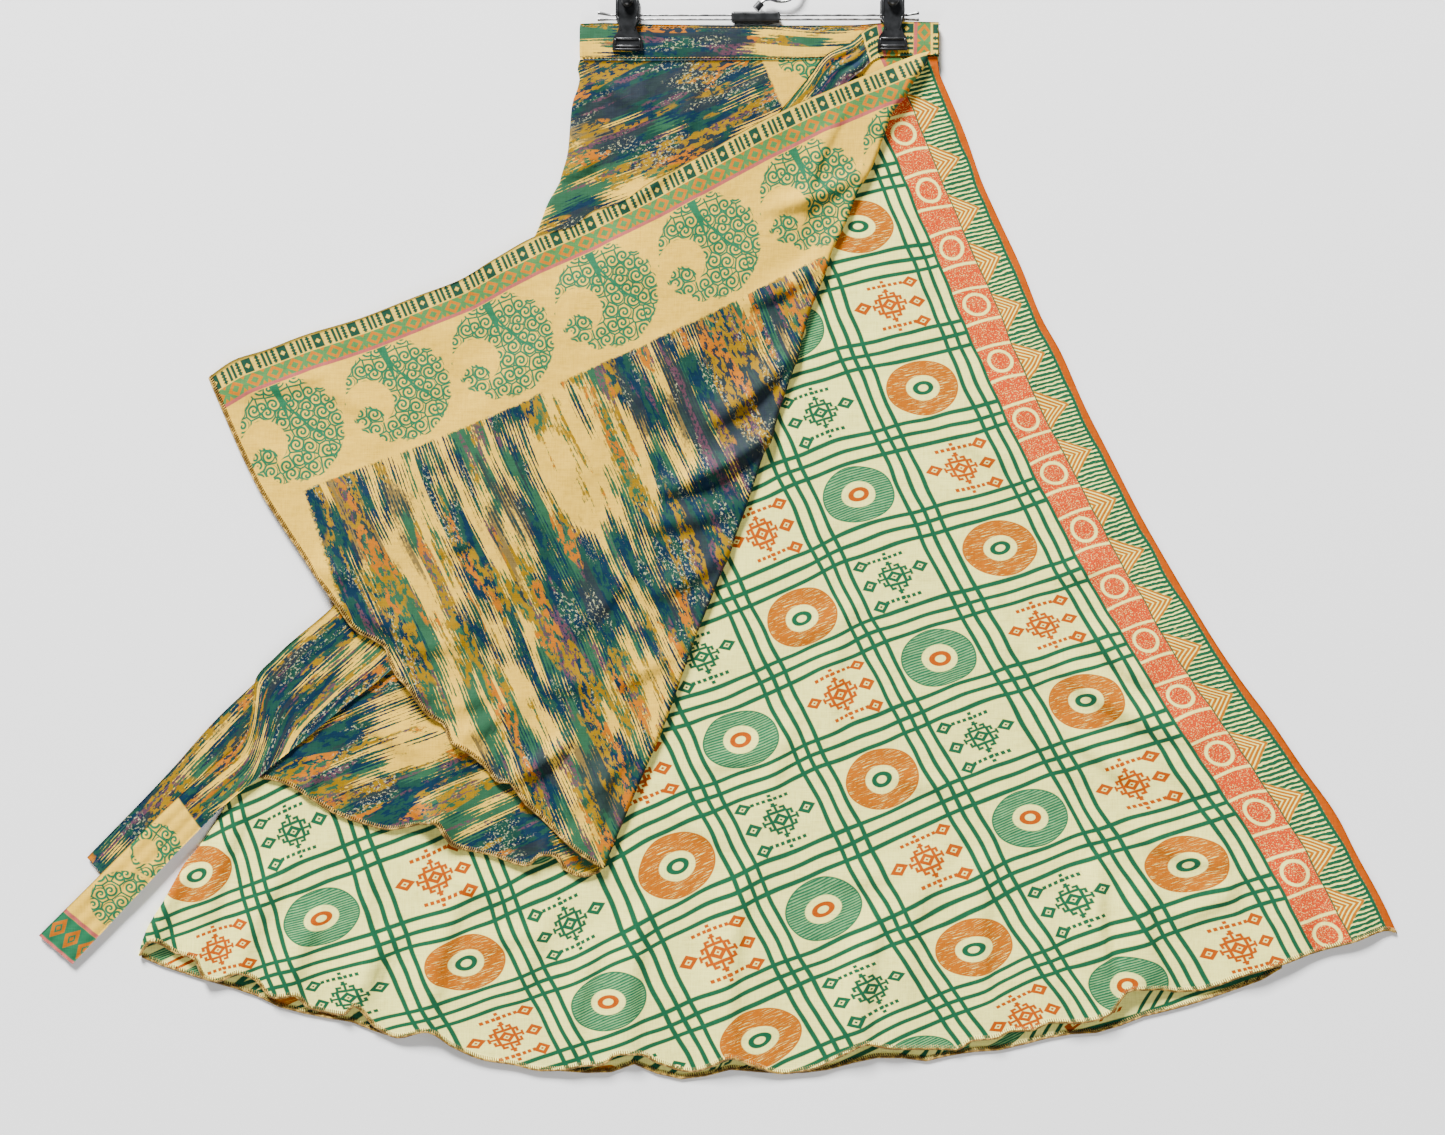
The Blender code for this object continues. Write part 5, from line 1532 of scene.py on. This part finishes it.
# How far the flap stands up beside the ties, more at their low end, and how soon it comes down
TIE_HALF_WIDTH = 0.034
TIE_WIDENING = 0.020
TIE_LOW_END = SEAM[1] - 0.60
TIE_FALL_OFF = 0.045


def under_ties(x, y):
    """The height of what the ties lie on, with its creases."""
    return resting_height(x, y) + inner_rise(x, y) + outer_rise(x, y)


def flap_rest(x, y):
    """The height of the flap's underside: over the outer skirt, and over both ties."""
    line = plan_of([Place((row.left_x + row.right_x) / 2, (row.left_y + row.right_y) / 2)
                    for row in UPPER_TIE])
    near = distance_to_line(x, y, line)
    half = TIE_HALF_WIDTH + np.interp(y, [TIE_LOW_END, SEAM[1]], [TIE_WIDENING, 0.0])
    over_ties = 1.0 - smooth_step(near, half, half + TIE_FALL_OFF)
    return under_ties(x, y) + TIES_UNDER_FLAP * over_ties


def make_outer_skirt(material):
    """The brush-stroke layer: hidden back, left fold, flat front, its fold, and the flap."""
    shares = shares_of(OUTER_ROWS)
    left = shifted(along_outline(OUTER_LEFT_EDGE + OUTER_HEM[:1], shares), OUTER_LEFT_INSET)
    fold = along_outline(FLAP_FOLD, shares)
    hem = along_outline(OUTER_HEM, shares_of(OUTER_FLAT))
    flat = panel(left, shifted(fold, -CLOTH - FLAP_PUFF / 2), hem, OUTER_FLAT)
    left_angle, left_reach = to_fan(*left[-1])
    back_hem = np.stack(on_fan(np.linspace(left_angle, OUTER_BACK_ANGLE, OUTER_BACK + 1),
                               np.linspace(left_reach, OUTER_BACK_REACH, OUTER_BACK + 1)), -1)
    free = back_edge(OUTER_BACK_ANGLE, OUTER_BACK_REACH, OUTER_ROWS)
    back = panel(left, free, back_hem, OUTER_BACK)[:, ::-1]
    back = with_height(back, lift_at(back[..., 0], back[..., 1]))

    border = along_outline(FLAP_BORDER, shares)
    flap_edge = along_outline(FLAP_HEM, shares_of(OUTER_FLAP))
    flap_edge[0] = flat[-1, -1]
    flap_edge[-1] = border[-1]
    neck = np.linspace(flat[0, -1], border[0], OUTER_FLAP + 1)
    flap = patch(neck, flap_edge, flat[:, -1], border)
    x, y = flap[..., 0], flap[..., 1]
    puff = FLAP_PUFF * np.exp(-(distance_to_line(x, y, fold) / FLAP_PUFF_WIDTH) ** 2)
    flap = with_height(flap, flap_rest(x, y) + puff + crease_height(x, y, FLAP_CREASES)
                       + swells(x, y, FLAP_SWELLS)
                       + ruffle_height(x, shares, OUTER_RUFFLED, FLAP_RUFFLES))
    x, y = flat[..., 0], flat[..., 1]
    flat = with_height(flat, OUTER_TOP + lift_at(x, y) + inner_rise(x, y) + outer_rise(x, y)
                       + ruffle_height(x, shares, OUTER_RUFFLED, OUTER_RUFFLES))

    turn = half_turn(flat[:, -1], flap[:, 0], FOLD_STEPS, -1.0)
    lip = half_turn(back[:, -1], flat[:, 0], LIP_STEPS, LIP_REACH)
    base = np.concatenate([back, lip, flat, turn, flap], axis=1)
    thickness = np.full(base.shape[1], -CLOTH)
    thickness[:OUTER_BACK + 2] = -BACK_CLOTH
    cloth = stroke_places(base, OUTER_BACK, FOLD_STEPS + OUTER_FLAP)
    shell = make_shell("outer_skirt", base, thickness[None], cloth, material)
    return shell, hem_frame(flat, -CLOTH), hem_frame(flap[:, ::-1], CLOTH)


# The ties, a row for each section: the places of both edges and the height over what they lie on
TieRow = namedtuple("TieRow", "left_x left_y right_x right_y rise")
UPPER_TIE = rows_of(TieRow, [
    (937, 25, 937, 57, -0.0003), (905, 24.2, 905, 58, -0.0001), (880, 26, 886, 58, -0.0001),
    (865, 32, 873, 62, -0.0001), (850, 46, 861, 73, LAYER), (826, 58, 846, 86, LAYER),
    (805, 84, 836, 108, LAYER), (672, 234, 708, 264, LAYER), (446, 485, 498, 529, LAYER),
    (336, 605, 398, 664, LAYER), (280, 654, 341, 710, LAYER), (257, 682, 300, 744, LAYER),
    (255, 707, 276, 763, LAYER), (247, 734, 260, 777, LAYER), (215, 765, 236, 796, LAYER),
    (171, 805, 194, 836, LAYER), (109, 867, 140, 893, 0.0008), (40, 935, 74, 963, -0.0008),
])
LOWER_TIE = rows_of(TieRow, [
    (841, 68, 860, 82, 0.0), (828, 76, 856, 98, 0.0), (811, 92, 843, 119, 0.0),
    (673, 242, 706, 269, 0.0), (456, 491, 489, 518, 0.0), (315, 626, 345, 658, 0.0),
    (257, 682, 284, 714, 0.0), (217, 720, 248, 752, 0.0), (173, 769, 203, 799, 0.0),
    (88, 857, 118, 889, -0.0010),
])
TIE_COLUMNS = 24
TIE_STEP = 0.0045
# Where a tie is gathered: the middle and reach of that stretch along it
GATHER_RUN = 0.085
GATHER_REACH = 0.016
# How deep the ties' pleats are along their run
PLEAT_RUNS = (0.060, 0.090, 0.840, 0.900)
LOWER_PLEATS = (0.0, 0.00005, 0.00005, 0.00010)
UPPER_PLEATS = (0.0, 0.00015, 0.00015, 0.0004)
TIE_TONES = rows_of(Tone, [
    (330, 640, 30, -0.2), (300, 690, 30, 0.3), (230, 770, 30, 0.1), (150, 810, 46, 1.2),
    (830, 80, 30, 1.3), (870, 50, 26, 1.4), (270, 720, 30, 0.4),
])


def make_tie(name, rows, pleats, depths, gather, shift, material):
    """A folded strip of cloth between two edges, with soft pleats along it."""
    left = plan_of([Place(row.left_x, row.left_y) for row in rows])
    right = plan_of([Place(row.right_x, row.right_y) for row in rows])
    run = run_along((left + right) / 2)
    at = np.linspace(0.0, run[-1], int(run[-1] / TIE_STEP) + 1)
    edges = [np.stack([curve_through(run, side[:, axis], at) for axis in (0, 1)], -1)
             for side in (left, right)]
    share = shares_of(TIE_COLUMNS)[None, :, None]
    plan = between(edges[0][:, None], edges[1][:, None], share)
    rise = np.interp(at, run, [row.rise for row in rows])
    gathered = gather * np.exp(-((at - GATHER_RUN) / GATHER_REACH) ** 2)
    depth = np.interp(at, PLEAT_RUNS, depths) + gathered
    wave = depth[:, None] * (1 - np.cos(2 * math.pi * pleats * share[..., 0]))
    base = with_height(plan, under_ties(plan[..., 0], plan[..., 1]) + rise[:, None] + wave)
    cloth = strip_places(base, TIE_TONES, shift)
    return make_shell(name, base, np.array(CLOTH), cloth, material)


def make_waistband(material):
    """The band: its back below, a fold at the left, and its front over both layers."""
    x = np.linspace(BAND[0].x, BAND[-1].x, BAND_COLUMNS)
    top = np.stack(at_pixel(x, band_edge(x, "top")), -1)
    bottom = np.stack(at_pixel(x, band_edge(x, "bottom")), -1)
    share = shares_of(BAND_ROWS)[:, None, None]
    plan = between(top, bottom, share)
    plan[..., 0] = np.maximum(plan[..., 0], plan[0, 0, 0] + BAND_THICKNESS + BAND_INSET)
    front = with_height(plan, INNER_LOW + LIFT[0])
    back = with_height(plan[:, ::-1], BACK_TOP + LIFT[0])
    curl = half_turn(back[:, -1], front[:, 0], CURL_STEPS, 1.0)
    base = np.concatenate([back, curl, front], axis=1)
    pillow = BAND_THICKNESS * (1.0 - EDGE_THINNING * (2 * share[..., 0] - 1.0) ** 6)
    shell = make_shell("waistband_cloth", base, pillow, band_places(base), material)
    up = np.broadcast_to((0.0, 0.0, 1.0), front[0].shape)
    seams = [(front[row] + up * pillow[row], up) for row in (1, BAND_ROWS - 1)]
    return shell, seams


# The floor's grey, and the soft lamps with their width and power
FLOOR_TONE = 0.92
Lamp = namedtuple("Lamp", "name place size power")
LAMPS = rows_of(Lamp, [
    ("key_light", (-2.4, 7.2, 4.3), 2.2, 3300.0), ("right_light", (3.8, 1.0, 3.2), 2.6, 60.0),
    ("near_light", (-0.8, -4.2, 3.0), 3.0, 190.0),
])


def make_floor_material():
    """A pale matt floor, hardly mottled."""
    material, tree, shader = start_material("floor", 0.8)
    mottle = tree.nodes.new("ShaderNodeTexNoise")
    mottle.inputs["Scale"].default_value = 40.0
    share = Field(tree, mottle.outputs["Fac"])
    colour = blend((FLOOR_TONE * 0.985,) * 3, (FLOOR_TONE,) * 3, share)
    connect(tree, colour, shader.inputs["Base Color"])
    return material


def make_stage():
    """A plain floor under soft lamps that look at its middle."""
    bpy.ops.mesh.primitive_plane_add(size=6.0)
    floor = bpy.context.object
    floor.name = "floor"
    floor.location = (0.0, 0.0, -0.0005)
    floor.data.materials.append(make_floor_material())
    for lamp in LAMPS:
        light = bpy.data.lights.new(lamp.name, "AREA")
        light.energy = lamp.power
        light.size = lamp.size
        item = add_object(lamp.name, light)
        item.location = lamp.place
        item.rotation_euler = (-item.location).to_track_quat("-Z", "Y").to_euler()


def make_camera():
    """The photograph's view: straight down, its centre and width as measured."""
    lens = bpy.data.cameras.new("camera")
    lens.lens = 50.0
    lens.sensor_width = 36.0
    camera = add_object("camera", lens)
    height = PHOTO_WIDTH * PIXEL * lens.lens / lens.sensor_width
    camera.location = (*at_pixel(*PHOTO_CENTRE), height)
    bpy.context.scene.camera = camera


inner_print = make_cloth("plaid_print", plaid_colour, roughness=0.85, gloss=0.07, sheen=0.0,
                         relief=0.35)
outer_print = make_cloth("stroke_print", flap_print, roughness=0.62, gloss=0.08, sheen=0.01,
                         relief=0.45)
tie_print = make_cloth("tie_end_print", tie_colour, roughness=0.62, gloss=0.08, sheen=0.01,
                       relief=0.45)
inner_skirt, inner_hem, inner_back_hem = make_inner_skirt(inner_print)
outer_skirt, outer_hem, flap_hem = make_outer_skirt(outer_print)
lower_tie = make_tie("lower_tie", LOWER_TIE, 2, LOWER_PLEATS, 0.0, (4.2, 5.0), outer_print)
upper_tie = make_tie("upper_tie", UPPER_TIE, 3, UPPER_PLEATS, 0.0008, (0.0, 0.0), tie_print)
waistband, band_seams = make_waistband(outer_print)
for piece, node in ((inner_skirt, "inner_skirt_panel"), (outer_skirt, "outer_skirt_panel"),
                    (lower_tie, "tie_lower"), (upper_tie, "tie_upper"),
                    (waistband, "waistband")):
    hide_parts(node)

thread = make_thread_material()
inner_loops = overlock(inner_hem, CLOTH / 2) + overlock(inner_back_hem, BACK_CLOTH / 2)
outer_loops = overlock(outer_hem, CLOTH / 2) + overlock(flap_hem, CLOTH / 2)
band_rows = [run_stitches(line, normal) for line, normal in band_seams]
inner_threads, outer_threads, band_threads = [
    make_piece(name, [tube_mesh(*group) for group in groups], thread)
    for name, groups, slot in (("inner_hem_threads", inner_loops, "inner_print"),
                               ("outer_hem_threads", outer_loops, "outer_print"),
                               ("band_threads", band_rows, "band_print"))]

plastic = make_plastic_material()
steel = make_steel_material()
node_materials = {name: steel for name in ("hanger_bar_wire_low", "hanger_bar_wire_high",
                                           "hanger_hook")}
node_materials.update({name: plastic for name in ("hanger_hook_boss", "hanger_saddle")})
for clip in CLIPS:
    for name in ("back_jaw", "front_jaw", "slider", "rivet"):
        node_materials[f"clip_{clip.name}_{name}"] = plastic
    ribs = [rib_mesh(clip, rib) for rib in RIBS]
    make_piece(f"clip_{clip.name}_mouldings", [*ribs, dome_mesh(clip)], plastic)
for node, material in node_materials.items():
    part = bpy.data.objects[node]
    part.data.materials.clear()
    part.data.materials.append(material)
    if material is plastic:
        edge = part.modifiers.new("soft_edges", "BEVEL")
        edge.width = 0.0006
        edge.segments = 3
        edge.limit_method = "ANGLE"

make_stage()
make_camera()
